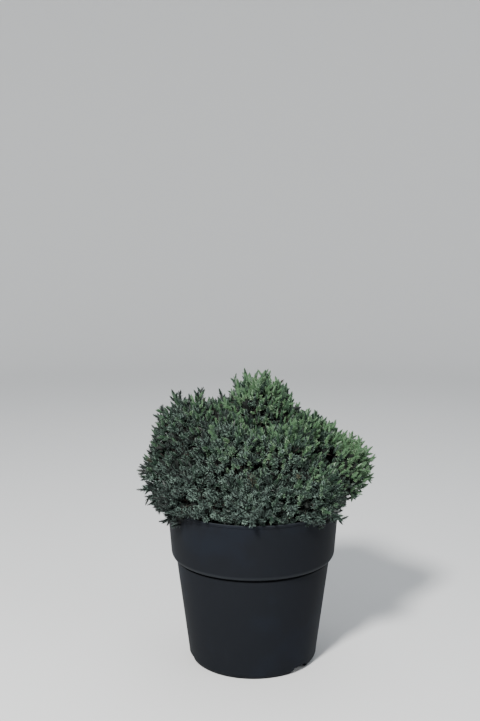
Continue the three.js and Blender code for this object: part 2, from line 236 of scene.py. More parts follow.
# ---- Limbs ------------------------------------------------------------------------

STEM_HEIGHT = 98 * MM
STEM_SHOWING = 2 * MM  # from a bough's end to the heart of its mass
STEM_LEAN = 12 * MM
STEM_UPRIGHT = 0.2  # the share of its height up to which the stem stands straight
STEM_BEND = 0.6
STEM_RADIUS = 9 * MM
STEM_TIP_RADIUS = 3.4 * MM
STEM_FLARE_RADIUS = 17 * MM
FLARE_FADE = 16  # how fast the root flare fades, in stem lengths
BOUGH_RADIUS = 3.8 * MM
BOUGH_TIP_RADIUS = 2 * MM
LOW_FORK_HEIGHT = 12 * MM
HIGH_FORK_HEIGHT = 44 * MM
BOUGH_FORK_STEP = 15 * MM
BOUGH_DIP = 10 * MM
CURVE_SAMPLES = 60


def centripetal(points, share):
    """A point on the centripetal curve through a few points."""
    last = len(points) - 1
    step = min(int(share * last), last - 1)
    w = share * last - step
    p1, p2 = points[step], points[step + 1]
    p0 = points[step - 1] if step > 0 else 2 * p1 - p2
    p3 = points[step + 2] if step + 2 <= last else 2 * p2 - p1
    d0, d1, d2 = (math.sqrt(np.linalg.norm(b - a)) for a, b in ((p0, p1), (p1, p2), (p2, p3)))
    t1 = ((p1 - p0) / d0 - (p2 - p0) / (d0 + d1) + (p2 - p1) / d1) * d1
    t2 = ((p2 - p1) / d1 - (p3 - p1) / (d1 + d2) + (p3 - p2) / d2) * d1
    return (
        (2 * w ** 3 - 3 * w ** 2 + 1) * p1 + (w ** 3 - 2 * w ** 2 + w) * t1
        + (3 * w ** 2 - 2 * w ** 3) * p2 + (w ** 3 - w ** 2) * t2
    )


def bowed(start, bow, end, share):
    """A point on a simple bow from start to end."""
    return (1 - share) ** 2 * start + 2 * share * (1 - share) * bow + share ** 2 * end


def lengths_along(line):
    """The length of a line of points up to each one."""
    return np.concatenate(([0], np.cumsum(np.linalg.norm(np.diff(line, axis=0), axis=1))))


def point_at(line, marks, at):
    """The point or points of a line where its marks, one for each of its points, reach a
    value."""
    return np.stack([np.interp(at, marks, line[:, axis]) for axis in range(3)], axis=-1)


def spaced(curve, count):
    """Points at equal steps along a curve, and how far along each one is."""
    line = np.array([curve(share) for share in np.linspace(0, 1, CURVE_SAMPLES)])
    lengths = lengths_along(line)
    shares = np.linspace(0, 1, count)
    return point_at(line, lengths, shares * lengths[-1]), shares


def sides_of(direction):
    """Two directions that are square to a direction and to each other."""
    side = unit(np.cross(direction, ASKEW))
    return side, np.cross(direction, side)


def stem_curve(share):
    base = SOIL_HIGH.z
    return centripetal([
        np.array((0, 0, STEM_LOW.z)),
        np.array((0, 0, base + STEM_HEIGHT * STEM_UPRIGHT)),
        np.array((-STEM_LEAN / 3, STEM_LEAN / 4, base + STEM_HEIGHT * STEM_BEND)),
        np.array((STEM_LEAN, STEM_LEAN / 3, base + STEM_HEIGHT)),
    ], share)


def stem_radius(along):
    flare = (STEM_FLARE_RADIUS - STEM_RADIUS) * np.exp(-along * FLARE_FADE)
    return STEM_RADIUS + (STEM_TIP_RADIUS - STEM_RADIUS) * along + flare


def bough_radius(along):
    return BOUGH_RADIUS + (BOUGH_TIP_RADIUS - BOUGH_RADIUS) * along


def stem_point(height):
    line, shares = spaced(stem_curve, CURVE_SAMPLES)
    return point_at(line, shares, height / STEM_HEIGHT)


def bough_curve(index):
    """The bow of a bough from inside the stem to the edge of its mass's heart."""
    start = HIGH_FORK_HEIGHT if index < LOWER_MASSES_FROM else LOW_FORK_HEIGHT
    root = stem_point(start + (index % 2) * BOUGH_FORK_STEP)
    inward = unit(MIDDLES[index] - root)
    span = np.linalg.norm(MIDDLES[index] - root)
    tip = root + inward * (span - heart_radius(index, -inward) - STEM_SHOWING)
    bow = (root + tip) / 2 - UP * BOUGH_DIP / 2
    return lambda share: bowed(root, bow, tip, share)


# ---- Meshes -----------------------------------------------------------------------

def new_object(name, data):
    obj = bpy.data.objects.new(name, data)
    bpy.context.scene.collection.objects.link(obj)
    return obj


def mesh_object(name, verts, faces):
    mesh = bpy.data.meshes.new(name)
    mesh.from_pydata([tuple(v) for v in verts], [], [tuple(f) for f in faces])
    mesh.validate()
    return new_object(name, mesh)


def joined_object(name, parts):
    """One object from (vertices, triangles) arrays."""
    verts, faces, offset = [], [], 0
    for points, triangles in parts:
        verts.append(points)
        faces.append(triangles + offset)
        offset += len(points)
    verts, faces = np.concatenate(verts), np.concatenate(faces)
    mesh = bpy.data.meshes.new(name)
    mesh.vertices.add(len(verts))
    mesh.vertices.foreach_set("co", verts.astype(np.float32).ravel())
    mesh.loops.add(faces.size)
    mesh.loops.foreach_set("vertex_index", faces.astype(np.int32).ravel())
    mesh.polygons.add(len(faces))
    mesh.polygons.foreach_set("loop_start", np.arange(0, faces.size, 3, dtype=np.int32))
    mesh.update(calc_edges=True)
    mesh.validate()
    return new_object(name, mesh)


def shade_smooth(obj, angle_deg=None):
    """Smooth shading, with the edges above an angle kept sharp."""
    mesh = obj.data
    mesh.polygons.foreach_set("use_smooth", [True] * len(mesh.polygons))
    if angle_deg is not None:
        mesh.set_sharp_from_angle(angle=math.radians(angle_deg))


def finish_piece(obj, slot, *nodes):
    """Gives a piece of the plant or pot its body and hides the nodes it stands for. Its slot is not
    used.
    """
    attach(obj, "root")
    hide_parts(*nodes)


def turned(name, outline, sides, open_start=False):
    """A surface turned round the Z axis from an outline of (radius, height). It ends on the
    axis, and starts there too unless its start is open."""
    turns = np.arange(sides) * 2 * math.pi / sides
    start = 0 if open_start else 1
    verts = [] if open_start else [(0, 0, outline[0][1])]
    rings = outline[start:-1]
    for radius, height in rings:
        verts += [(radius * math.cos(t), radius * math.sin(t), height) for t in turns]
    last, top = len(verts), start + (len(rings) - 1) * sides
    verts.append((0, 0, outline[-1][1]))
    faces = []
    for k in range(sides):
        n = (k + 1) % sides
        if not open_start:
            faces.append((0, 1 + n, 1 + k))
        for a in range(start, top, sides):
            faces.append((a + k, a + n, a + sides + n, a + sides + k))
        faces.append((top + k, top + n, last))
    return mesh_object(name, verts, faces)


def tube(line, radii, sides, pointed=False):
    """A closed tapered tube along a line: vertices and triangles. A pointed one ends in
    a tip."""
    line = np.asarray(line)
    tangents = np.gradient(line, axis=0)
    tangents /= np.linalg.norm(tangents, axis=1)[:, None]
    side, _ = sides_of(tangents[0])
    turns = np.arange(sides) * 2 * math.pi / sides
    rings = []
    for point, tangent, radius in zip(line, tangents, radii):
        side = unit(side - tangent * np.dot(side, tangent))
        across = np.cross(tangent, side)
        ring = np.cos(turns)[:, None] * side + np.sin(turns)[:, None] * across
        rings.append(point + ring * radius)
    if pointed:
        rings.pop()
    count = len(rings)
    verts = np.concatenate(rings + [line[:1], line[-1:]])
    foot, tip = count * sides, count * sides + 1
    faces = []
    for k in range(sides):
        n = (k + 1) % sides
        faces.append((foot, n, k))
        for ring in range(count - 1):
            a, b = ring * sides, (ring + 1) * sides
            faces.append((a + k, a + n, b + n))
            faces.append((a + k, b + n, b + k))
        top = (count - 1) * sides
        faces.append((top + k, top + n, tip))
    return verts, np.array(faces)


def apply_modifiers(obj):
    """Makes the plain mesh that an object's modifiers give its own."""
    graph = bpy.context.evaluated_depsgraph_get()
    mesh = bpy.data.meshes.new_from_object(obj.evaluated_get(graph), depsgraph=graph)
    mesh.name = obj.name
    obj.modifiers.clear()
    obj.data = mesh


# ---- Node helpers -----------------------------------------------------------------

def new_group(name, tree_type, inputs, outputs):
    """A node group with named sockets. With its tree come the sockets that give its inputs
    and those that take its outputs."""
    tree = bpy.data.node_groups.new(name, tree_type)
    for label, kind, *default in inputs:
        socket = tree.interface.new_socket(label, in_out="INPUT", socket_type="NodeSocket" + kind)
        if default:
            socket.default_value = default[0]
    for label, kind in outputs:
        tree.interface.new_socket(label, in_out="OUTPUT", socket_type="NodeSocket" + kind)
    source, sink = tree.nodes.new("NodeGroupInput"), tree.nodes.new("NodeGroupOutput")
    return tree, source.outputs, sink.inputs


def feed(tree, socket, value):
    """Links a socket to the one that feeds it, or gives it a plain value."""
    if isinstance(value, bpy.types.NodeSocket):
        tree.links.new(value, socket)
    else:
        socket.default_value = value


def add_node(tree, kind, settings=None, **inputs):
    """A node with its settings. Each input goes by its label, or by n and its number."""
    node = tree.nodes.new(kind)
    for key, value in (settings or {}).items():
        setattr(node, key, value)
    for key, value in inputs.items():
        label = key.replace("_", " ")
        numbered = label[0] == "n" and label[1:].isdigit()
        feed(tree, node.inputs[int(label[1:]) if numbered else label], value)
    return node


def calc(tree, operation, *values):
    """The output of a Math node."""
    node = add_node(tree, "ShaderNodeMath", {"operation": operation})
    for socket, value in zip(node.inputs, values):
        feed(tree, socket, value)
    return node.outputs[0]


def mixed(tree, factor, first, second):
    """Two colours mixed."""
    node = add_node(tree, "ShaderNodeMix", {"data_type": "RGBA"}, n0=factor, n6=first, n7=second)
    return node.outputs[2]


def ranged(tree, value, low, high, to_low=0.0, to_high=1.0):
    """A value's smooth change from one number to another as it passes from low to high."""
    return add_node(tree, "ShaderNodeMapRange", {"interpolation_type": "SMOOTHSTEP"}, Value=value,
                    From_Min=low, From_Max=high, To_Min=to_low, To_Max=to_high).outputs["Result"]


def band(tree, value, low, low_full, high_full, high):
    """1 between two numbers and 0 beyond them, with soft ends."""
    return calc(tree, "MULTIPLY", ranged(tree, value, low, low_full),
                ranged(tree, value, high_full, high, 1.0, 0.0))


def random_value(tree, kind, low, high, seed):
    """The output of a Random Value node for floats, vectors or whole numbers."""
    place = ("FLOAT_VECTOR", "FLOAT", "INT").index(kind)
    node = add_node(tree, "FunctionNodeRandomValue", {"data_type": kind}, Seed=seed)
    feed(tree, node.inputs[2 * place], low)
    feed(tree, node.inputs[2 * place + 1], high)
    return node.outputs[place]


def realized(tree, instances):
    """The geometry of a node's instances, made real."""
    return add_node(tree, "GeometryNodeRealizeInstances", Geometry=instances.outputs[0]).outputs[0]


def put_out(tree, sink, geometry, material, selection=True):
    """Gives a tree's geometry, or a selection of it, its material and puts it out."""
    dressed = add_node(tree, "GeometryNodeSetMaterial", Geometry=geometry, Material=material,
                       Selection=selection)
    tree.links.new(dressed.outputs[0], sink["Geometry"])


def set_modifier_inputs(modifier, **values):
    """Sets a node modifier's inputs by the identifiers of its sockets."""
    by_name = {
        item.name: item.identifier
        for item in modifier.node_group.interface.items_tree
        if item.item_type == "SOCKET" and item.in_out == "INPUT"
    }
    for name, value in values.items():
        modifier[by_name[name.replace("_", " ")]] = value


def run_tree(obj, tree, **values):
    """Runs a tree on an object with its inputs set, and keeps the mesh that comes out."""
    modifier = obj.modifiers.new(tree.name, "NODES")
    modifier.node_group = tree
    set_modifier_inputs(modifier, **values)
    bpy.context.view_layer.update()
    apply_modifiers(obj)


# ---- Finishes ---------------------------------------------------------------------

def srgb(red, green, blue):
    """A colour given as screen values from 0 to 255, as the linear values of a shader."""
    def linear(value):
        share = value / 255
        return share / 12.92 if share <= 0.04045 else ((share + 0.055) / 1.055) ** 2.4
    return (linear(red), linear(green), linear(blue), 1.0)


def patches_group():
    """Soft patches of a second colour."""
    if "Patches" in bpy.data.node_groups:
        return bpy.data.node_groups["Patches"]
    tree, source, sink = new_group("Patches", "ShaderNodeTree", (
        ("Colour", "Color", (0.5, 0.5, 0.5, 1)),
        ("Patch Colour", "Color", (0.2, 0.2, 0.2, 1)),
        ("Position", "Vector"),
        ("Scale", "Float", 20.0),
        ("Amount", "Float", 0.5),
        ("Softness", "Float", 0.1),
    ), (("Colour", "Color"), ("Mask", "Float")))
    field = add_node(tree, "ShaderNodeTexNoise", Vector=source["Position"],
                     Scale=source["Scale"], Detail=5.0, Roughness=0.6)
    low = calc(tree, "SUBTRACT", 1.0, source["Amount"])
    high = calc(tree, "ADD", low, source["Softness"])
    mask = ranged(tree, field.outputs["Fac"], low, high)
    tree.links.new(mixed(tree, mask, source["Colour"], source["Patch Colour"]), sink["Colour"])
    tree.links.new(mask, sink["Mask"])
    return tree


def grain_group():
    """A fine grain as a height."""
    if "Grain" in bpy.data.node_groups:
        return bpy.data.node_groups["Grain"]
    tree, source, sink = new_group("Grain", "ShaderNodeTree", (
        ("Position", "Vector"),
        ("Scale", "Float", 400.0),
        ("Coarse Share", "Float", 0.3),
    ), (("Height", "Float"),))
    fine, coarse = (
        add_node(tree, "ShaderNodeTexNoise", Vector=source["Position"], Scale=scale, Detail=3.0)
        for scale in (source["Scale"], calc(tree, "MULTIPLY", source["Scale"], 0.12))
    )
    share = calc(tree, "MULTIPLY", coarse.outputs["Fac"], source["Coarse Share"])
    tree.links.new(calc(tree, "ADD", fine.outputs["Fac"], share), sink["Height"])
    return tree


def new_material(name, roughness, specular):
    """A material with one Principled shader, and the object's own coordinates."""
    material = bpy.data.materials.new(name)
    material.use_nodes = True
    tree = material.node_tree
    shader = tree.nodes["Principled BSDF"]
    shader.inputs["Roughness"].default_value = roughness
    shader.inputs["Specular IOR Level"].default_value = specular
    place = add_node(tree, "ShaderNodeTexCoord").outputs["Object"]
    return material, tree, shader, place


def stretched(tree, place, scale):
    """Coordinates that stretch a pattern along the axes where the scale is small."""
    return add_node(tree, "ShaderNodeMapping", Vector=place, Scale=scale).outputs["Vector"]


def patched(tree, place, colour, patches, **shape):
    """A colour with soft patches of a second one, and the mask of the patches."""
    return add_node(tree, "ShaderNodeGroup", {"node_tree": patches_group()}, Position=place,
                    Colour=colour, Patch_Colour=patches, **shape).outputs


def add_grain(tree, shader, place, scale, coarse, strength, relief):
    """Gives a surface a fine relief."""
    grain = add_node(tree, "ShaderNodeGroup", {"node_tree": grain_group()}, Position=place,
                     Scale=scale, Coarse_Share=coarse)
    bump = add_node(tree, "ShaderNodeBump", Strength=strength, Distance=relief,
                    Height=grain.outputs["Height"])
    tree.links.new(bump.outputs["Normal"], shader.inputs["Normal"])


def pot_material(settings):
    """Charcoal moulded plastic: bluish patches, water marks, dust, painted highlights on the lip and
    collar edge, painted shade under the collar.
    """
    material, tree, shader, place = new_material("pot_plastic", 0.6, 0.03)
    base = patched(tree, place, settings.plastic, settings.plastic_patches,
                   Scale=9.0, Amount=0.5, Softness=0.16)["Colour"]
    streaks = patched(tree, stretched(tree, place, (1, 1, 0.12)), base, srgb(34, 37, 42),
                      Scale=90.0, Amount=0.4, Softness=0.3)["Colour"]
    streaked = mixed(tree, 0.3, base, streaks)
    dust = patched(tree, place, streaked, srgb(44, 46, 48), Scale=260.0, Amount=0.38, Softness=0.2)
    height = add_node(tree, "ShaderNodeSeparateXYZ", n0=place).outputs["Z"]
    low_down = ranged(tree, height, 0.0, 0.05, 0.42, 0.12)
    dusty = mixed(tree, low_down, streaked, dust["Colour"])
    low = COLLAR_BOTTOM
    # Painted highlight: the rim's lip and a band along the collar's rounded lower edge are lightened
    # where they would catch the light.
    lip = ranged(tree, height, POT_HIGH.z - 1.6 * MM, POT_HIGH.z)
    edge = band(tree, height, low, low + MM, low + 2.5 * MM, low + 7 * MM)
    lip_and_edge_highlight = calc(tree, "MULTIPLY", calc(tree, "MAXIMUM", lip, edge), 0.5)
    highlighted = mixed(tree, lip_and_edge_highlight, dusty, srgb(48, 51, 55))
    # Painted shadow: just under the collar the body is darkened nearly to black, as the shade the
    # collar casts.
    under_collar = band(tree, height, low - 6 * MM, low - 3 * MM, low, low + 0.6 * MM)
    shaded = mixed(tree, calc(tree, "MULTIPLY", under_collar, 0.8), highlighted, srgb(7, 8, 10))
    tree.links.new(shaded, shader.inputs["Base Color"])
    tree.links.new(ranged(tree, dust["Mask"], 0.0, 1.0, 0.55, 0.7), shader.inputs["Roughness"])
    add_grain(tree, shader, place, scale=900.0, coarse=1.2, strength=0.25, relief=0.25 * MM)
    return material


def soil_material(name, dark, light):
    """Moist potting mix: dark crumbs with paler fibres."""
    material, tree, shader, place = new_material(name, 0.95, 0.2)
    mix = patched(tree, place, dark, light, Scale=220.0, Amount=0.5, Softness=0.12)
    tree.links.new(mix["Colour"], shader.inputs["Base Color"])
    add_grain(tree, shader, place, scale=700.0, coarse=1.5, strength=0.8, relief=0.8 * MM)
    return material


def bark_material(name, colour, flakes, scale):
    """Thin bark that flakes along the limb."""
    material, tree, shader, place = new_material(name, 0.85, 0.3)
    along = stretched(tree, place, (1, 1, 0.3))
    bark = patched(tree, along, colour, flakes, Scale=scale, Amount=0.5, Softness=0.14)
    tree.links.new(bark["Colour"], shader.inputs["Base Color"])
    add_grain(tree, shader, along, scale=scale * 4, coarse=1.0, strength=0.6, relief=0.5 * MM)
    return material


def plain_material(name, colour, roughness, specular):
    """A material in one plain colour."""
    material, _, shader, _ = new_material(name, roughness, specular)
    shader.inputs["Base Color"].default_value = colour
    return material


def needle_material(name, screen_colour, roughness):
    """A waxy needle in one plain colour, given as screen values."""
    return plain_material(name, srgb(*screen_colour), roughness, 0.4)


# ---- The pot ----------------------------------------------------------------------

COLLAR_BOTTOM = 158 * MM
COLLAR_FOOT_RADIUS = 122 * MM
BODY_TOP_RADIUS = 114.5 * MM
BODY_FOOT_RADIUS = 96.5 * MM
BODY_FOOT_HEIGHT = 14 * MM
UNDERSIDE_RADIUS = 91.5 * MM
BEAD = 1.2 * MM
GROOVE_DEPTH = 1.3 * MM
GROOVE_HEIGHT = 4 * MM
NOTCH_COUNT = 3
NOTCH_BEARING_DEG = -44
NOTCH_WIDTH = 36 * MM
NOTCH_HEIGHT = 9 * MM
NOTCH_SLOPE = 6 * MM
NOTCH_DEPTH = 16 * MM
POT_SIDES = 160
ARC_STEPS = 5
POT_SMOOTH_DEG = 35


def rounded(corners):
    """An outline through corners (radius out, height, rounding), each cut by an arc."""
    points = []
    for i, (x, y, cut) in enumerate(corners):
        here = np.array((x, y))
        if cut == 0 or i in (0, len(corners) - 1):
            points.append(here)
            continue
        before, after = np.array(corners[i - 1][:2]), np.array(corners[i + 1][:2])
        start = here + unit(before - here) * cut
        end = here + unit(after - here) * cut
        points += [bowed(start, here, end, share) for share in np.linspace(0, 1, ARC_STEPS + 1)]
    return points


def pot_outline():
    """Half the pot's section, from the middle of its underside round to its inside."""
    rim, top, wall = POT_HIGH.x, POT_HIGH.z, POT_WALL
    groove = BODY_TOP_RADIUS - GROOVE_DEPTH
    return rounded([
        (0, 0, 0),
        (UNDERSIDE_RADIUS, 0, 1.2 * MM),
        (BODY_FOOT_RADIUS - 0.7 * MM, 6 * MM, 3 * MM),
        (BODY_FOOT_RADIUS, BODY_FOOT_HEIGHT, 4 * MM),
        (BODY_TOP_RADIUS, COLLAR_BOTTOM - GROOVE_HEIGHT, 0.6 * MM),
        (groove, COLLAR_BOTTOM - GROOVE_HEIGHT + MM, 0.6 * MM),
        (groove, COLLAR_BOTTOM, 0.4 * MM),
        (COLLAR_FOOT_RADIUS - 3.6 * MM, COLLAR_BOTTOM, 0.8 * MM),
        (COLLAR_FOOT_RADIUS - 0.4 * MM, COLLAR_BOTTOM + 4 * MM, 4 * MM),
        (rim - BEAD, top - 5 * MM, 0.6 * MM),
        (rim, top - 4 * MM, 0.6 * MM),
        (rim, top, 1.1 * MM),
        (rim - wall, top, 0.9 * MM),
        (COLLAR_FOOT_RADIUS - wall, COLLAR_BOTTOM + 9 * MM, 2 * MM),
        (BODY_TOP_RADIUS - wall, COLLAR_BOTTOM + 4.8 * MM, 1.5 * MM),
        (BODY_FOOT_RADIUS - wall, BODY_FOOT_HEIGHT, 4 * MM),
        (UNDERSIDE_RADIUS - wall, wall, 1.5 * MM),
        (0, wall, 0),
    ])


def notch_cutter(bearing_deg):
    """The space of one drain notch, with sloped ends."""
    half, low, high = NOTCH_WIDTH / 2, -MM, NOTCH_HEIGHT
    outline = [(-half, low), (half, low), (half - NOTCH_SLOPE, high), (NOTCH_SLOPE - half, high)]
    inner = UNDERSIDE_RADIUS - NOTCH_DEPTH / 2
    verts = [(inner + out, y, z) for out in (0, NOTCH_DEPTH) for y, z in outline]
    sides = [(i, (i + 1) % 4, 4 + (i + 1) % 4, 4 + i) for i in range(4)]
    cutter = mesh_object("notch_cutter", verts, [(0, 3, 2, 1), (4, 5, 6, 7)] + sides)
    cutter.data.transform(Matrix.Rotation(math.radians(bearing_deg), 4, "Z"))
    return cutter


def make_pot(settings):
    """The pot, turned and then cut by its drain notches."""
    pot = turned("nursery_pot", pot_outline(), POT_SIDES)
    for i in range(NOTCH_COUNT):
        cutter = notch_cutter(NOTCH_BEARING_DEG + i * 360 / NOTCH_COUNT)
        cut = pot.modifiers.new("notch", "BOOLEAN")
        cut.operation, cut.solver, cut.object = "DIFFERENCE", "EXACT", cutter
        bpy.context.view_layer.update()
        apply_modifiers(pot)
        bpy.data.objects.remove(cutter)
    shade_smooth(pot, POT_SMOOTH_DEG)
    pot.data.materials.clear()
    pot.data.materials.append(pot_material(settings))
    finish_piece(pot, "pot", "pot")


# ---- The soil ---------------------------------------------------------------------

SOIL_SIDES = 96
SOIL_RINGS = 40
SOIL_GAP = 0.35 * MM
SOIL_EDGE = SOIL_HIGH.x - 0.4 * MM
SOIL_DOME = 3 * MM  # how much lower the top is at its edge
SOIL_SINK = 0.8 * MM  # room for lumps below the packed soil's top
SOIL_LUMPS = 1.1 * MM
COARSE_LUMPS, FINE_LUMPS = 90, 260  # how often lumps come along a metre
FINE_LUMP_SHARE = 0.6
LUMP_CAP = 0.7
CRUMB_COUNT = 420
CRUMB_SIZE = 2.6 * MM
CRUMB_LUMPS = 3.1
CRUMB_RELIEF = 0.35
CRUMB_FLATNESS = 0.6
CRUMB_SEED = 7


def make_soil_bed():
    """The potting mix up to its crumbly top."""
    top = SOIL_HIGH.z
    profile = [
        (0, POT_WALL + SOIL_GAP),
        (UNDERSIDE_RADIUS - POT_WALL - 2 * SOIL_GAP - 2 * MM, POT_WALL + SOIL_GAP),
        (BODY_FOOT_RADIUS - POT_WALL - 2 * SOIL_GAP, BODY_FOOT_HEIGHT),
        (BODY_TOP_RADIUS - POT_WALL - 2 * SOIL_GAP, COLLAR_BOTTOM + 4.8 * MM),
        (COLLAR_FOOT_RADIUS - POT_WALL - 2 * SOIL_GAP - 0.6 * MM, COLLAR_BOTTOM + 9.3 * MM),
        (SOIL_EDGE, top - 4 * MM),
    ]
    for i in range(1, SOIL_RINGS):
        radius = SOIL_EDGE * (1 - i / SOIL_RINGS)
        profile.append((radius, top - SOIL_DOME * (radius / SOIL_EDGE) ** 2 - SOIL_SINK))
    profile.append((0, top - SOIL_SINK))
    bed = turned("soil_bed", profile, SOIL_SIDES)
    for vert in bed.data.vertices:
        radius = math.hypot(vert.co.x, vert.co.y)
        if vert.co.z > top - 4.5 * MM and radius < SOIL_EDGE - MM:
            fine = FINE_LUMP_SHARE * noise.noise(vert.co * FINE_LUMPS)
            lumps = noise.noise(vert.co * COARSE_LUMPS) + fine
            vert.co.z += SOIL_LUMPS * min(lumps, LUMP_CAP)
    shade_smooth(bed)
    return bed


def crumb_mesh():
    """One crumb of bark or peat, a weathered lump of twenty faces."""
    shape = bmesh.new()
    bmesh.ops.create_icosphere(shape, subdivisions=1, radius=0.5)
    for vert in shape.verts:
        vert.co *= 1 + CRUMB_RELIEF * noise.noise(vert.co * CRUMB_LUMPS)
        vert.co.z *= CRUMB_FLATNESS
    mesh = bpy.data.meshes.new("crumb")
    shape.to_mesh(mesh)
    shape.free()
    return new_object("crumb", mesh)


def scatter_tree():
    """Crumbs on the top of a surface."""
    tree, source, sink = new_group("Crumbs on soil", "GeometryNodeTree", (
        ("Geometry", "Geometry"),
        ("Crumb", "Object"),
        ("Count", "Float", 100.0),
        ("Size", "Float", 0.002),
        ("Top", "Float", 0.2),
        ("Seed", "Int", 1),
        ("Material", "Material"),
    ), (("Geometry", "Geometry"),))
    place = add_node(tree, "GeometryNodeInputPosition").outputs[0]
    height = add_node(tree, "ShaderNodeSeparateXYZ", Vector=place).outputs["Z"]
    above = add_node(tree, "FunctionNodeCompare", {"operation": "GREATER_THAN"},
                     A=height, B=source["Top"]).outputs[0]
    spots = add_node(tree, "GeometryNodeDistributePointsOnFaces", Mesh=source["Geometry"],
                     Selection=above, Density=source["Count"], Seed=source["Seed"])
    crumb = add_node(tree, "GeometryNodeObjectInfo", Object=source["Crumb"])
    turn = random_value(tree, "FLOAT_VECTOR", (0, 0, 0), (0.5, 0.5, 6.28), source["Seed"])
    size = random_value(tree, "FLOAT", 0.35, 1.0, source["Seed"])
    laid = add_node(tree, "GeometryNodeInstanceOnPoints", Points=spots.outputs["Points"],
                    Instance=crumb.outputs["Geometry"], Rotation=turn,
                    Scale=calc(tree, "MULTIPLY", size, source["Size"]))
    put_out(tree, sink, realized(tree, laid), source["Material"])
    return tree


def make_soil(settings):
    """The bed of mix and the crumbs on it."""
    bed = make_soil_bed()
    bed.data.materials.append(soil_material("potting_mix", settings.soil, settings.soil_fibres))
    crumb = crumb_mesh()
    crumbs = mesh_object("soil_crumbs", [v.co for v in bed.data.vertices],
                         [tuple(p.vertices) for p in bed.data.polygons])
    area = math.pi * SOIL_HIGH.x ** 2
    run_tree(crumbs, scatter_tree(), Crumb=crumb, Count=CRUMB_COUNT / area, Size=CRUMB_SIZE,
             Top=SOIL_HIGH.z - 5 * MM, Seed=CRUMB_SEED,
             Material=soil_material("soil_crumbs", srgb(66, 48, 36), srgb(112, 88, 64)))
    bpy.data.objects.remove(crumb)
    for piece in (bed, crumbs):
        finish_piece(piece, "soil", "soil")


# ---- Stem and boughs --------------------------------------------------------------

BARK_SIDES = 28
BARK_STEP = 1.6 * MM
BARK_RELIEF = 0.09
RIDGE_WAVES = np.array((620, 620, 90))
FLAKE_WAVES = 420
FLAKE_SHARE = 0.6
BOUGH_RINGS = 40


def bark_tube(curve, radius_at, sides, count):
    """A limb whose bark stands up in ridges and flakes."""
    line, shares = spaced(curve, count)
    verts, faces = tube(line, radius_at(shares), sides)
    for number in range(count * sides):
        vert, middle = verts[number], line[number // sides]
        out = vert - middle
        ridges = noise.noise(Vector((out[0], out[1], vert[2]) * RIDGE_WAVES))
        flakes = noise.noise(Vector(vert * FLAKE_WAVES))
        relief = 1 - BARK_RELIEF + BARK_RELIEF * (ridges + FLAKE_SHARE * flakes)
        verts[number] = middle + out * relief
    return verts, faces


def make_limbs(settings):
    """The stem and the boughs, each limb closed, in bark."""
    stem_rings = int(STEM_HEIGHT / BARK_STEP)
    stem = joined_object("stem_bark", [bark_tube(stem_curve, stem_radius, BARK_SIDES, stem_rings)])
    boughs = joined_object("bough_bark", [
        bark_tube(bough_curve(index), bough_radius, BARK_SIDES // 2, BOUGH_RINGS)
        for index in range(1, len(CROWN))
    ])
    bark = bark_material("juniper_bark", settings.bark, settings.bark_flakes, 300.0)
    for piece in (stem, boughs):
        shade_smooth(piece)
        piece.data.materials.append(bark)
    finish_piece(stem, "bark", "stem")
    finish_piece(boughs, "bark", *["bough_" + name for name in NAMES[1:]])


# ---- Growth -----------------------------------------------------------------------

SEED = 41
SEED_STEP = 97
BRANCHLETS_TRIED = 104
LEAST_VIGOUR = 0.8
SHADED = -0.2  # no branchlet of a mass heads further back into the crown than this
LEADER_LIFT = 0.12
SHOOT_LIFT = 0.36
UNLIFTED = -0.7  # branchlets that head lower than this aren't lifted
SKIN_SLACK = 1.03
BRANCHLET_ROOT = 0.12
BRANCHLET_BOW = 0.6
BRANCHLET_POINTS = 9

LONG_SHARE = 0.26
LOW_LONG_SHARE = 0.5
DOWNWARD = -0.2
LEFTWARD = -0.6
LONG_REACH = 1.17
LONG_SLACK = 1.15
LONG_TOP = 436 * MM

# A shoot, grown to its full length, and how it is set on a branchlet.
SHOOT_LENGTH = 17 * MM
SHOOT_HALF_WIDTH = 3.6 * MM
SHOOT_MIDDLE = 0.6
SHOOT_WIDEST = 0.65
SHOOT_ANGLE_DEG = 37
SHOOT_STEP = 4.4 * MM
SHOOT_VARIATION = (0.85, 0.3)  # the least share of the plain value, and the spread above it
SIDE_SHOOT_LIFT = 0.16
SHOOT_SHARES = (1.0, 0.84, 0.7)  # a shoot that doesn't fit is tried shorter
LOW_SHOOT_SIZE = 1.2
HIGH_SHOOT_SIZE = 0.72
FIRST_SHOOT = 0.3
LAST_SHOOT = 7 * MM
TIP_SHOOT = 1.4
TANGENT_STEP = 3 * MM

# Layers of added shoots: how many are tried, how much room each needs, how deep they lie.
OUTER_FILLERS = (6000, 6.0 * MM, 21 * MM)
INNER_FILLERS = (3000, 8.4 * MM, 36 * MM)
HEART_FILLERS = (2600, 7.8 * MM, 58 * MM)
FILLER_DEPTHS = (0.75, 0.6)  # least share and spread, as above
FILLER_SIZES = (0.7, 0.3)
FILLER_LIFT = 0.4
FILLER_JITTER = 0.7
FILLER_SLACK = -0.04
FILLER_FOOT = 8 * MM
FILLER_BOW = 0.5
FILLER_TWIG_POINTS = 4
INNERMOST_POINTS = 3  # of a branchlet's line, which carry no filler
LOWEST_FILLER = -0.35
# The crown's skin is looked for at these distances from its core.
SKIN_FROM, SKIN_TO, SKIN_STEP = 40 * MM, 0.28, 2 * MM

# How deep the leafy shoots and the plain inner ones lie in the crown.
LEAFY_DEPTH = 34 * MM
INNER_DEPTH = 58 * MM
INNER_SHARE = 0.3

# Deep shaded hollows between sprays: the middle of each, and how far it reaches.
HOLLOWS = np.array([
    (-98, -106, 270), (-47, -126, 265), (-100, -62, 301), (62, -86, 336), (73, -118, 263),
    (-136, -42, 317), (-70, -114, 293), (33, -113, 300), (78, -101, 308),
]) * MM
HOLLOW_REACH = 12.5 * MM


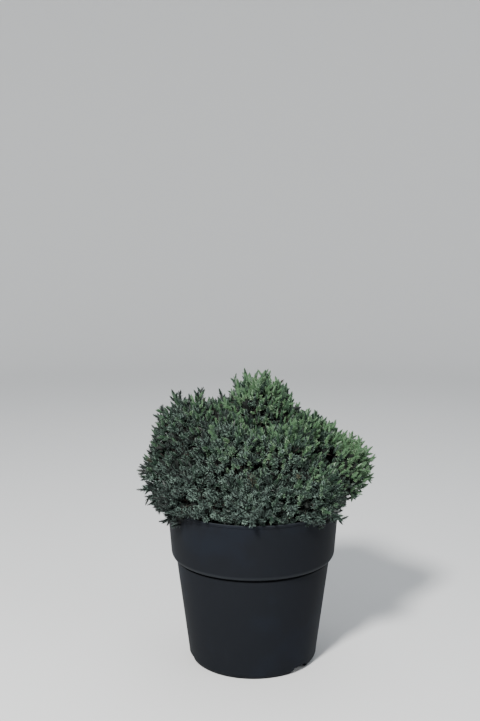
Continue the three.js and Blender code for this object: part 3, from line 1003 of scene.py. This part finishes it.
def varied(random, least, spread):
    """A number drawn evenly from a least one up over a spread."""
    return least + spread * next(random)


def shoot_point(shoot, share):
    """The point of a shoot, given as (root, direction, length), at a share of its length."""
    root, direction, length = shoot
    return root + direction * length * share


def in_hollow(point):
    return np.linalg.norm(HOLLOWS - point, axis=1).min() < HOLLOW_REACH


def shoot_fits(index, shoot, slack):
    """Whether a shoot's tip and its widest stretch lie in its mass's space."""
    root, direction, length = shoot
    side, across = sides_of(direction)
    middle = shoot_point(shoot, SHOOT_WIDEST)
    wide = SHOOT_HALF_WIDTH * length / SHOOT_LENGTH
    points = np.array([
        root + direction * length,
        middle + side * wide, middle - side * wide,
        middle + across * wide, middle - across * wide,
    ])
    return bool(in_space(index, points, FOLIAGE_SEAM, slack).all())


def grow_shoots(index, line, random, slack):
    """The shoots of one branchlet, along its outer part and one at its tip."""
    lengths = lengths_along(line)
    total = lengths[-1]
    turn = next(random) * 2 * math.pi
    shoots = []
    at = total * FIRST_SHOOT + next(random) * SHOOT_STEP
    while at < total - LAST_SHOOT:
        root = point_at(line, lengths, at)
        tangent = unit(point_at(line, lengths, at + TANGENT_STEP) - root)
        side, across = sides_of(tangent)
        angle = math.radians(SHOOT_ANGLE_DEG * varied(random, *SHOOT_VARIATION))
        sideways = math.cos(turn) * side + math.sin(turn) * across
        leaning = tangent * math.cos(angle) + sideways * math.sin(angle)
        direction = unit(leaning + UP * SIDE_SHOOT_LIFT)
        size = LOW_SHOOT_SIZE + (HIGH_SHOOT_SIZE - LOW_SHOOT_SIZE) * (at / total)
        size *= SHOOT_LENGTH * varied(random, *SHOOT_VARIATION)
        tried = ((root, direction, size * share) for share in SHOOT_SHARES)
        fitting = next((shoot for shoot in tried if shoot_fits(index, shoot, slack)), None)
        if fitting:
            shoots.append(fitting)
        turn += math.pi * GOLDEN_TURN
        at += SHOOT_STEP * varied(random, *SHOOT_VARIATION)
    tip_direction = unit(line[-1] - line[-3])
    tip_length = SHOOT_LENGTH * TIP_SHOOT
    shoots.append((line[-1] - tip_direction * tip_length, tip_direction, tip_length))
    return shoots


def long_branchlet_share(name, direction):
    """How many branchlets grow long: more of them low down and at the left edge, and none on
    the underside of the right arm."""
    if name == "right" and direction[2] < 0:
        return 0
    leftmost = name == "left" and direction[0] < LEFTWARD
    return LOW_LONG_SHARE if direction[2] < DOWNWARD or leftmost else LONG_SHARE


def grow_mass(index, tries):
    """The branchlets of one mass, as lines, and their shoots."""
    random = stream(SEED + index * SEED_STEP)
    middle = MIDDLES[index]
    outward = unit(middle - CROWN_MIDDLE)
    branchlets, shoots = [], []
    for k in range(-1, tries):
        leader = k < 0
        direction = outward if leader else even_direction(k, tries)
        vigour = 1 if leader else varied(random, LEAST_VIGOUR, 1 - LEAST_VIGOUR)
        if direction @ outward < SHADED:
            continue
        lift = LEADER_LIFT if leader else SHOOT_LIFT * ramp(direction[2], UNLIFTED, 1)
        lifted = unit(direction + UP * lift)
        reach = reach_of(index, lifted, FOLIAGE_SEAM) * vigour
        long_share = long_branchlet_share(NAMES[index], direction)
        slack = SKIN_SLACK
        long_tip = middle + lifted * reach * LONG_REACH
        if next(random) < long_share and long_tip[2] < LONG_TOP and clear_of_pot(long_tip[None])[0]:
            reach *= LONG_REACH
            slack = LONG_SLACK
        if reach < SHOOT_LENGTH:
            continue
        root = middle + direction * reach * BRANCHLET_ROOT
        bow = middle + direction * reach * BRANCHLET_BOW
        tip = middle + lifted * reach
        line = spaced(lambda share: bowed(root, bow, tip, share), BRANCHLET_POINTS)[0]
        branchlets.append(line)
        shoots += grow_shoots(index, line, random, slack)
    return branchlets, shoots


def grow_fillers(branchlets, shoots, tries, room, skin_depth):
    """Shoots where a layer of the crown at some depth would stay bare, and the twig that
    carries each."""
    way = np.array([even_direction(k, tries) for k in range(tries)])
    way = way[way[:, 2] > LOWEST_FILLER]
    skin = np.zeros(len(way))
    for step in np.arange(SKIN_FROM, SKIN_TO, SKIN_STEP):
        skin[crown_field(CROWN_CORE + way * step) > 0] = step
    random = stream(SEED + tries)
    middles = np.array([shoot_point(shoot, SHOOT_MIDDLE) for shoot in shoots])
    nodes = np.concatenate([line[INNERMOST_POINTS:] for line in branchlets])
    twigs, grown = [], []
    for direction, reach in zip(way[skin > 0], skin[skin > 0]):
        root = CROWN_CORE + direction * (reach - skin_depth * varied(random, *FILLER_DEPTHS))
        jitter = np.array([next(random) - 0.5 for _ in range(3)])
        heading = unit(direction + UP * FILLER_LIFT + jitter * FILLER_JITTER)
        shoot = (root, heading, SHOOT_LENGTH * varied(random, *FILLER_SIZES))
        middle = shoot_point(shoot, SHOOT_MIDDLE)
        if np.linalg.norm(middles - middle, axis=1).min() < room:
            continue
        ends = np.array([middle, shoot_point(shoot, 1), root])
        outside = not clear_of_pot(ends).all() or crown_field(ends).min() < FILLER_SLACK
        if outside or in_hollow(middle):
            continue
        away = np.linalg.norm(nodes - (root - direction * FILLER_FOOT), axis=1)
        foot = nodes[int(np.argmin(away))]
        bow = root - heading * np.linalg.norm(root - foot) * FILLER_BOW
        shares = np.linspace(0, 1, FILLER_TWIG_POINTS)
        twigs.append(np.array([bowed(foot, bow, root, share) for share in shares]))
        grown.append(shoot)
        middles = np.concatenate([middles, [middle]])
    return twigs, grown


def seen_shoots(shoots, random):
    """The leafy shoots of the crown's outside and the plain ones deeper in. The leafy ones
    in the hollows and most of the deep ones are left out."""
    leafy, inner = [], []
    depths = depth_in_crown(np.array([shoot_point(shoot, 0.5) for shoot in shoots]))
    for shoot, depth in zip(shoots, depths):
        if depth < LEAFY_DEPTH:
            if not in_hollow(shoot_point(shoot, SHOOT_MIDDLE)):
                leafy.append(shoot)
        elif depth < INNER_DEPTH and next(random) < INNER_SHARE:
            inner.append(shoot)
    return leafy, inner


def grow_crown(tries, random):
    """The branchlets and twigs of all masses, and their leafy and their inner shoots."""
    branchlets, shoots = [], []
    for index in range(len(CROWN)):
        lines, grown = grow_mass(index, tries)
        branchlets += lines
        shoots += grown
    leafy, inner = seen_shoots(shoots, random)
    twigs = []
    for layer, group in ((OUTER_FILLERS, leafy), (INNER_FILLERS, inner), (HEART_FILLERS, inner)):
        lines, grown = grow_fillers(branchlets, leafy + inner, *layer)
        twigs += lines
        group.extend(grown)
    return branchlets + twigs, leafy, inner


# ---- Needles ----------------------------------------------------------------------

NEEDLE_LENGTH = 6.3 * MM
NEEDLE_WIDTH = 1.1 * MM
NEEDLE_THICKNESS = 0.4 * MM
NEEDLE_WIDEST = 0.36
NEEDLE_OVERLAP = 0.8
SHOOT_VARIANTS = 4
# How needles stand on a shoot: the number of whorls, their spread in radians at the foot and
# at the tip, and the thickness of the core.
COMPACT = (8, 0.85, 0.4, 1.0)
OPEN = (8, 1.1, 0.65, 0.8)
PLAIN = (5, 1.1, 0.5, 1.2)
LEAFY_SEED = 3
PLAIN_SEED = 5
CORE_SHARES = (0.02, 0.35, 0.72, 0.95)
CORE_RADII = (0.8 * MM, 2.3 * MM, 1.5 * MM, 0)
CORE_SIDES = 4

# The tints of the needles, from the darkest and greyest to the freshest: the darker ones are painted
# shade for the low and left side of the crown, the lighter ones painted light and greener growth for
# the top and the right. Each gives the silvery upper side and the green lower side, as screen
# colours.
TINTS = (
    ("shaded", (72, 87, 81), (10, 17, 15)),
    ("slate", (88, 106, 98), (13, 22, 19)),
    ("silver", (103, 123, 113), (18, 29, 24)),
    ("blue", (111, 134, 119), (28, 45, 36)),
    ("green", (124, 151, 125), (46, 69, 50)),
    ("fresh", (141, 168, 134), (68, 96, 68)),
)
BASE_GREEN = TINTS[2][2]
OPEN_TINTS = ("shaded", "slate", "silver")
DRY_SHARE = 0.003

# Where shoots rank fresher, which is partly greener growth and partly painted light: from a place
# on, in metres, over the width given with it.
FRESH_AND_LIT_HEIGHT = (0.25, 0.18)
FRESH_AND_LIT_RIGHT = 0.4
ARM_GAIN = 0.6
ARM_OUT = (0.1, 0.045)
ARM_UP = (0.28, 0.04)
EDGE_GAIN = 0.5
EDGE_OUT = (0.115, 0.05)
TINT_JITTER = 0.45

BRANCHLET_RADIUS = 1.0 * MM
BRANCHLET_TIP_RADIUS = 0.45 * MM
BRANCHLET_SHOWN = 0.82
TWIG_RADIUS = 1.7 * MM


def needle_object():
    """One needle up the Z axis: a keeled blade of four faces. Its upper side, which faces
    the shoot's tip, is marked."""
    wide = NEEDLE_WIDEST * NEEDLE_LENGTH
    verts = [
        (0, 0, 0), (0, 0, NEEDLE_LENGTH),
        (-NEEDLE_WIDTH / 2, NEEDLE_THICKNESS, wide), (NEEDLE_WIDTH / 2, NEEDLE_THICKNESS, wide),
    ]
    faces = [(0, 2, 3), (1, 3, 2), (0, 1, 2), (0, 3, 1)]
    needle = mesh_object("needle", verts, faces)
    upper = needle.data.attributes.new("upper", "BOOLEAN", "FACE")
    upper.data.foreach_set("value", [True, True, False, False])
    return needle


def shoot_tree():
    """Dresses a straight shoot up the Z axis with needles in whorls of three."""
    tree, source, sink = new_group("Juniper shoot", "GeometryNodeTree", (
        ("Geometry", "Geometry"),
        ("Needle", "Object"),
        ("Whorls", "Int", 12),
        ("Pitch", "Float", 0.0012),
        ("Spread Low", "Float", 0.85),
        ("Spread High", "Float", 0.3),
        ("Shape Variation", "Float", 0.18),
        ("Seed", "Int", 1),
        ("Material", "Material"),
    ), (("Geometry", "Geometry"),))

    def near_one(value, share, seed_step):
        """A value times a random number near one."""
        low, high = (calc(tree, operation, 1.0, share) for operation in ("SUBTRACT", "ADD"))
        seed = calc(tree, "ADD", source["Seed"], seed_step)
        return calc(tree, "MULTIPLY", value, random_value(tree, "FLOAT", low, high, seed))

    def from_foot_to_tip(**inputs):
        return add_node(tree, "ShaderNodeMapRange", Value=along, **inputs).outputs["Result"]

    count = calc(tree, "MULTIPLY", source["Whorls"], 3.0)
    rise = calc(tree, "DIVIDE", source["Pitch"], 3.0)
    line = add_node(tree, "GeometryNodeMeshLine", {"mode": "OFFSET"}, Count=count,
                    Offset=add_node(tree, "ShaderNodeCombineXYZ", Z=rise).outputs[0])
    index = add_node(tree, "GeometryNodeInputIndex").outputs[0]
    whorl = calc(tree, "FLOOR", calc(tree, "DIVIDE", index, 3.0))
    third = calc(tree, "MULTIPLY", index, 2 * math.pi / 3)
    spin = calc(tree, "ADD", third, calc(tree, "MULTIPLY", whorl, math.pi / 3))
    along = calc(tree, "DIVIDE", index, count)
    spread = from_foot_to_tip(To_Min=source["Spread Low"], To_Max=source["Spread High"])
    shrink = from_foot_to_tip(From_Min=0.6, To_Min=1.0, To_Max=0.6)
    lean = near_one(spread, source["Shape Variation"], 11.0)
    turn = calc(tree, "ADD", spin, near_one(0.3, 1.0, 23.0))
    needle = add_node(tree, "GeometryNodeObjectInfo", Object=source["Needle"])
    set_on = add_node(tree, "GeometryNodeInstanceOnPoints", Points=line.outputs[0],
                      Instance=needle.outputs["Geometry"], Scale=near_one(shrink, 0.12, 37.0),
                      Rotation=add_node(tree, "ShaderNodeCombineXYZ", X=lean, Z=turn).outputs[0])
    whole = add_node(tree, "GeometryNodeJoinGeometry", n0=source["Geometry"])
    tree.links.new(realized(tree, set_on), whole.inputs[0])
    put_out(tree, sink, whole.outputs[0], source["Material"])
    return tree


def shoot_models(material, whorls, spread_low, spread_high, core_scale):
    """A few different shoots, in a collection of their own."""
    models = bpy.data.collections.new("shoot_models")
    bpy.context.scene.collection.children.link(models)
    needle, tree = needle_object(), shoot_tree()
    pitch = (SHOOT_LENGTH - NEEDLE_OVERLAP * NEEDLE_LENGTH) / whorls
    for variant in range(SHOOT_VARIANTS):
        core = tube([(0, 0, SHOOT_LENGTH * share) for share in CORE_SHARES],
                    [radius * core_scale for radius in CORE_RADII], CORE_SIDES, pointed=True)
        shoot = mesh_object(f"shoot_{variant}", *core)
        run_tree(shoot, tree, Needle=needle, Whorls=whorls, Pitch=pitch, Spread_Low=spread_low,
                 Spread_High=spread_high, Seed=variant, Material=material)
        bpy.context.scene.collection.objects.unlink(shoot)
        models.objects.link(shoot)
    bpy.data.objects.remove(needle)
    return models


def placing_tree():
    """Sets a shoot on each point, up the point's direction, and gives the upper and lower
    sides of its needles their colours."""
    tree, source, sink = new_group("Shoots on twigs", "GeometryNodeTree", (
        ("Geometry", "Geometry"),
        ("Shoots", "Collection"),
        ("Size", "Float", 1.0),
        ("Seed", "Int", 1),
        ("Upper Side", "Material"),
        ("Lower Side", "Material"),
    ), (("Geometry", "Geometry"),))

    def attribute(name, kind):
        node = add_node(tree, "GeometryNodeInputNamedAttribute", {"data_type": kind}, Name=name)
        return node.outputs[0]

    roll = random_value(tree, "FLOAT", 0.0, 2 * math.pi, source["Seed"])
    rolled = add_node(tree, "FunctionNodeAxisAngleToRotation", Axis=(0, 0, 1), Angle=roll)
    aimed = add_node(tree, "FunctionNodeAlignRotationToVector", {"axis": "Z"},
                     Rotation=rolled.outputs[0], Vector=attribute("direction", "FLOAT_VECTOR"))
    models = add_node(tree, "GeometryNodeCollectionInfo", Collection=source["Shoots"],
                      Separate_Children=True, Reset_Children=True)
    pick = random_value(tree, "INT", 0, SHOOT_VARIANTS - 1, source["Seed"])
    size = calc(tree, "MULTIPLY", attribute("size", "FLOAT"), source["Size"])
    grown = add_node(tree, "GeometryNodeInstanceOnPoints", Points=source["Geometry"],
                     Instance=models.outputs[0], Pick_Instance=True, Instance_Index=pick,
                     Rotation=aimed.outputs[0], Scale=size)
    under = add_node(tree, "GeometryNodeSetMaterial", Geometry=realized(tree, grown),
                     Material=source["Lower Side"])
    put_out(tree, sink, under.outputs[0], source["Upper Side"], attribute("upper", "BOOLEAN"))
    return tree


def point_object(name, shoots):
    """A mesh of bare points that carry each shoot's direction and size."""
    obj = mesh_object(name, [root for root, _, _ in shoots], [])
    direction = obj.data.attributes.new("direction", "FLOAT_VECTOR", "POINT")
    direction.data.foreach_set("vector", np.array([d for _, d, _ in shoots], np.float32).ravel())
    size = obj.data.attributes.new("size", "FLOAT", "POINT")
    size.data.foreach_set("value", [length / SHOOT_LENGTH for _, _, length in shoots])
    return obj


def freshness_and_light(root, random):
    """How green and well lit a shoot is, as a rank for its tint: more so high up, far out to either
    side, towards the right and on the right arm, with a random spread. This is partly greener new
    growth and partly painted light, with painted shade low down and at the left."""
    x, _, z = root
    high = (z - FRESH_AND_LIT_HEIGHT[0]) / FRESH_AND_LIT_HEIGHT[1]
    arm = ARM_GAIN * ramp(x, *ARM_OUT) * ramp(z, *ARM_UP)
    edge = EDGE_GAIN * ramp(abs(x), *EDGE_OUT)
    return high + arm + x / FRESH_AND_LIT_RIGHT + edge + TINT_JITTER * 2 * (next(random) - 0.5)


def make_needles(name, shoots, tree, **inputs):
    """One piece of needles, on shoots of its own."""
    piece = point_object("needles_" + name, shoots)
    run_tree(piece, tree, **inputs)
    finish_piece(piece, "foliage", *MASS_NODES)


def make_foliage(settings):
    """Twigs and needles of all masses."""
    tries = settings.branchlets
    random = stream(SEED)
    branchlets, leafy, inner = grow_crown(tries, random)
    fresh = [freshness_and_light(root, random) for root, _, _ in leafy]
    living, dry = [], []  # from the darkest, in painted shade, to the freshest and best lit
    for i in np.argsort(fresh, kind="stable"):
        group = dry if next(random) < DRY_SHARE else living
        group.append(leafy[i])

    green = needle_material("needle_base", BASE_GREEN, 0.6)
    compact_models, open_models, inner_models = (
        shoot_models(green, *build) for build in (COMPACT, OPEN, PLAIN)
    )
    tree = placing_tree()
    # Dealt out by rank: the lowest ranks take the darker tints as painted shade, the highest the
    # lighter ones as painted light and greener growth.
    shares = np.array_split(np.arange(len(living)), len(TINTS))
    for (tint, upper, lower), members in zip(TINTS, shares):
        make_needles(tint, [living[i] for i in members], tree, Size=1.0, Seed=LEAFY_SEED,
                     Shoots=open_models if tint in OPEN_TINTS else compact_models,
                     Upper_Side=needle_material(tint + "_bloom", upper, 0.6),
                     Lower_Side=needle_material(tint + "_green", lower, 0.5))
    # The inner needles are dull old ones, and their colours are painted darker still as the shade
    # deep inside the crown.
    for name, shoots, models, size, upper, lower in (
        ("inner", inner, inner_models, 1.5, (30, 38, 33), (15, 21, 18)),
        ("dry", dry, open_models, 1.0, (80, 80, 64), (48, 47, 38)),
    ):
        make_needles(name, shoots, tree, Size=size, Seed=PLAIN_SEED, Shoots=models,
                     Upper_Side=needle_material(name + "_upper", upper, 0.8),
                     Lower_Side=needle_material(name + "_lower", lower, 0.8))
    for collection in (compact_models, open_models, inner_models):
        for shoot in list(collection.objects):
            bpy.data.objects.remove(shoot)
        bpy.data.collections.remove(collection)
    make_twigs(settings, branchlets)


def make_twigs(settings, branchlets):
    """The woody twigs inside the masses."""
    ends = [bough_curve(index)(1) for index in range(1, len(CROWN))] + [stem_curve(1)]
    hearts = list(MIDDLES[1:]) + [MIDDLES[0]]
    parts = [tube([end, heart], (TWIG_RADIUS, TWIG_RADIUS), 5) for end, heart in zip(ends, hearts)]
    for line in branchlets:
        shown = line[:math.ceil(len(line) * BRANCHLET_SHOWN)]
        radii = np.linspace(BRANCHLET_RADIUS, BRANCHLET_TIP_RADIUS, len(shown))
        parts.append(tube(shown[::2], radii[::2], 4))
    twigs = joined_object("twigs", parts)
    bark = bark_material("twig_bark", settings.twigs, settings.twig_flakes, 500.0)
    twigs.data.materials.append(bark)
    finish_piece(twigs, "foliage", *MASS_NODES)


# ---- Stage ------------------------------------------------------------------------

FLOOR_RADIUS = 2.6
INNER_FLOOR_RADIUS = 0.4
SWEEP_RADIUS = 1.2
SWEEP_STEPS = 12
WALL_HEIGHT = 2.6
STAGE_SIDES = 96

LIT_POINT = (0, 0, 0.28)
# Each lamp's place, the width of its disc and its colour.
LAMPS = (
    ("key", (-0.85, -1.9, 2.1), 0.42, (1, 0.985, 0.95)),
    ("fill", (1.8, -1.2, 1.4), 1.6, (0.93, 0.97, 1)),
    ("top", (0.2, 0.9, 2.4), 1.8, (0.95, 0.98, 1)),
)
AIR_COLOUR = (0.9, 0.95, 1.0, 1.0)

CAMERA_PLACE = (-0.0238, -1.446, 0.669)
CAMERA_PITCH_DEG = 8.63
CAMERA_YAW = 0.0031
CAMERA_LENS = 50
SENSOR_WIDTH = 36


def make_stage_floor(settings):
    """A pale round floor that sweeps up into a wall on all sides."""
    outline = [(FLOOR_RADIUS + SWEEP_RADIUS, WALL_HEIGHT)]
    for share in np.linspace(0, 1, SWEEP_STEPS + 1)[:0:-1]:
        angle = share * math.pi / 2
        out, up = SWEEP_RADIUS * math.sin(angle), SWEEP_RADIUS * (1 - math.cos(angle))
        outline.append((FLOOR_RADIUS + out, up))
    outline += [(radius, 0) for radius in np.linspace(FLOOR_RADIUS, INNER_FLOOR_RADIUS, 8)]
    floor = turned("studio_floor", outline + [(0, 0)], STAGE_SIDES, open_start=True)
    shade_smooth(floor)
    floor.data.materials.append(plain_material("studio_paper", settings.floor, 0.9, 0.2))


def add_area_light(name, place, size, power, colour):
    data = bpy.data.lights.new(name, "AREA")
    data.shape, data.size, data.energy, data.color = "DISK", size, power, colour
    lamp = new_object(name, data)
    lamp.location = place
    lamp.rotation_euler = (Vector(LIT_POINT) - lamp.location).to_track_quat("-Z", "Y").to_euler()


def make_camera():
    yaw, pitch = CAMERA_YAW, math.radians(CAMERA_PITCH_DEG)
    level = math.cos(pitch)
    ahead = Vector((math.sin(yaw) * level, math.cos(yaw) * level, -math.sin(pitch)))
    right = Vector((math.cos(yaw), -math.sin(yaw), 0))
    data = bpy.data.cameras.new("camera")
    data.lens, data.sensor_width = CAMERA_LENS, SENSOR_WIDTH
    camera = new_object("camera", data)
    turn = Matrix((right, right.cross(ahead), -ahead)).transposed()
    camera.matrix_world = Matrix.Translation(CAMERA_PLACE) @ turn.to_4x4()
    bpy.context.scene.camera = camera


def make_stage(settings):
    """The floor, the lamps, the air and the camera."""
    make_stage_floor(settings)
    for name, place, size, colour in LAMPS:
        add_area_light(name + "_light", place, size, getattr(settings, name + "_power"), colour)
    world = bpy.data.worlds.new("studio_air")
    world.use_nodes = True
    air = world.node_tree.nodes["Background"]
    air.inputs["Color"].default_value = AIR_COLOUR
    air.inputs["Strength"].default_value = settings.air_strength
    bpy.context.scene.world = world
    make_camera()


# ---- Add-on -----------------------------------------------------------------------

def colour_prop(name, description, colour):
    return bpy.props.FloatVectorProperty(
        name=name, description=description, subtype="COLOR", size=4, min=0, max=1, default=colour)


def power_prop(name, description, power):
    return bpy.props.FloatProperty(
        name=name, description=description, subtype="POWER", unit="POWER", default=power)


class JuniperSettings(bpy.types.PropertyGroup):
    """Colours and densities of the plant and its pot."""

    plastic: colour_prop("Plastic", "Colour of the pot", srgb(24, 26, 30))
    plastic_patches: colour_prop("Plastic patches", "Bluish patches on the pot", srgb(25, 28, 34))
    soil: colour_prop("Soil", "Moist potting mix", srgb(44, 33, 26))
    soil_fibres: colour_prop("Soil fibres", "Paler fibres in the mix", srgb(86, 66, 48))
    bark: colour_prop("Bark", "Bark of the stem and boughs", srgb(92, 70, 54))
    bark_flakes: colour_prop("Bark flakes", "Loose greyer flakes", srgb(128, 112, 98))
    twigs: colour_prop("Twigs", "Bark of the thin twigs", srgb(32, 28, 25))
    twig_flakes: colour_prop("Twig flakes", "Dry flakes on the thin twigs", srgb(52, 46, 40))
    branchlets: bpy.props.IntProperty(
        name="Branchlets", description="Directions tried in each mass",
        default=BRANCHLETS_TRIED, min=10)


class JuniperStageSettings(bpy.types.PropertyGroup):
    """Light and floor."""

    floor: colour_prop("Floor", "Colour of the studio floor", srgb(214, 215, 216))
    key_power: power_prop("Key light", "Power of the light from the front left", 170)
    fill_power: power_prop("Fill light", "Power of the soft light from the right", 11)
    top_power: power_prop("Top light", "Power of the soft light from above and behind", 16)
    air_strength: bpy.props.FloatProperty(
        name="Air", description="Strength of the light from all round", default=0.45, min=0)


class JUNIPER_OT_pot(bpy.types.Operator):
    """Makes the nursery pot"""

    bl_idname = "juniper.pot"
    bl_label = "Make the pot"

    def execute(self, context):
        make_pot(context.scene.juniper)
        return {"FINISHED"}


class JUNIPER_OT_soil(bpy.types.Operator):
    """Makes the potting mix and its crumbs"""

    bl_idname = "juniper.soil"
    bl_label = "Make the soil"

    def execute(self, context):
        make_soil(context.scene.juniper)
        return {"FINISHED"}


class JUNIPER_OT_limbs(bpy.types.Operator):
    """Makes the stem and the boughs"""

    bl_idname = "juniper.limbs"
    bl_label = "Make the limbs"

    def execute(self, context):
        make_limbs(context.scene.juniper)
        return {"FINISHED"}


class JUNIPER_OT_foliage(bpy.types.Operator):
    """Grows the twigs and needles"""

    bl_idname = "juniper.foliage"
    bl_label = "Grow the foliage"

    def execute(self, context):
        make_foliage(context.scene.juniper)
        return {"FINISHED"}


class JUNIPER_OT_stage(bpy.types.Operator):
    """Makes the floor, the lights and the camera"""

    bl_idname = "juniper.stage"
    bl_label = "Set the stage"

    def execute(self, context):
        make_stage(context.scene.juniper_stage)
        return {"FINISHED"}


OPERATORS = (JUNIPER_OT_pot, JUNIPER_OT_soil, JUNIPER_OT_limbs, JUNIPER_OT_foliage, JUNIPER_OT_stage)


class JUNIPER_PT_panel(bpy.types.Panel):
    """Lists the steps that make the plant"""

    bl_label = "Juniper"
    bl_idname = "JUNIPER_PT_panel"
    bl_space_type = "VIEW_3D"
    bl_region_type = "UI"
    bl_category = "Juniper"

    def draw(self, context):
        for operator in OPERATORS:
            self.layout.operator(operator.bl_idname)
        for group in (context.scene.juniper, context.scene.juniper_stage):
            for name in group.__annotations__:
                self.layout.prop(group, name)


CLASSES = (JuniperSettings, JuniperStageSettings, *OPERATORS, JUNIPER_PT_panel)


def register():
    for cls in CLASSES:
        bpy.utils.register_class(cls)
    bpy.types.Scene.juniper = bpy.props.PointerProperty(type=JuniperSettings)
    bpy.types.Scene.juniper_stage = bpy.props.PointerProperty(type=JuniperStageSettings)


def unregister():
    del bpy.types.Scene.juniper_stage
    del bpy.types.Scene.juniper
    for cls in reversed(CLASSES):
        bpy.utils.unregister_class(cls)


def main():
    register()
    bpy.ops.juniper.stage()
    bpy.ops.juniper.pot()
    bpy.ops.juniper.soil()
    bpy.ops.juniper.limbs()
    bpy.ops.juniper.foliage()


if __name__ == "__main__":
    main()
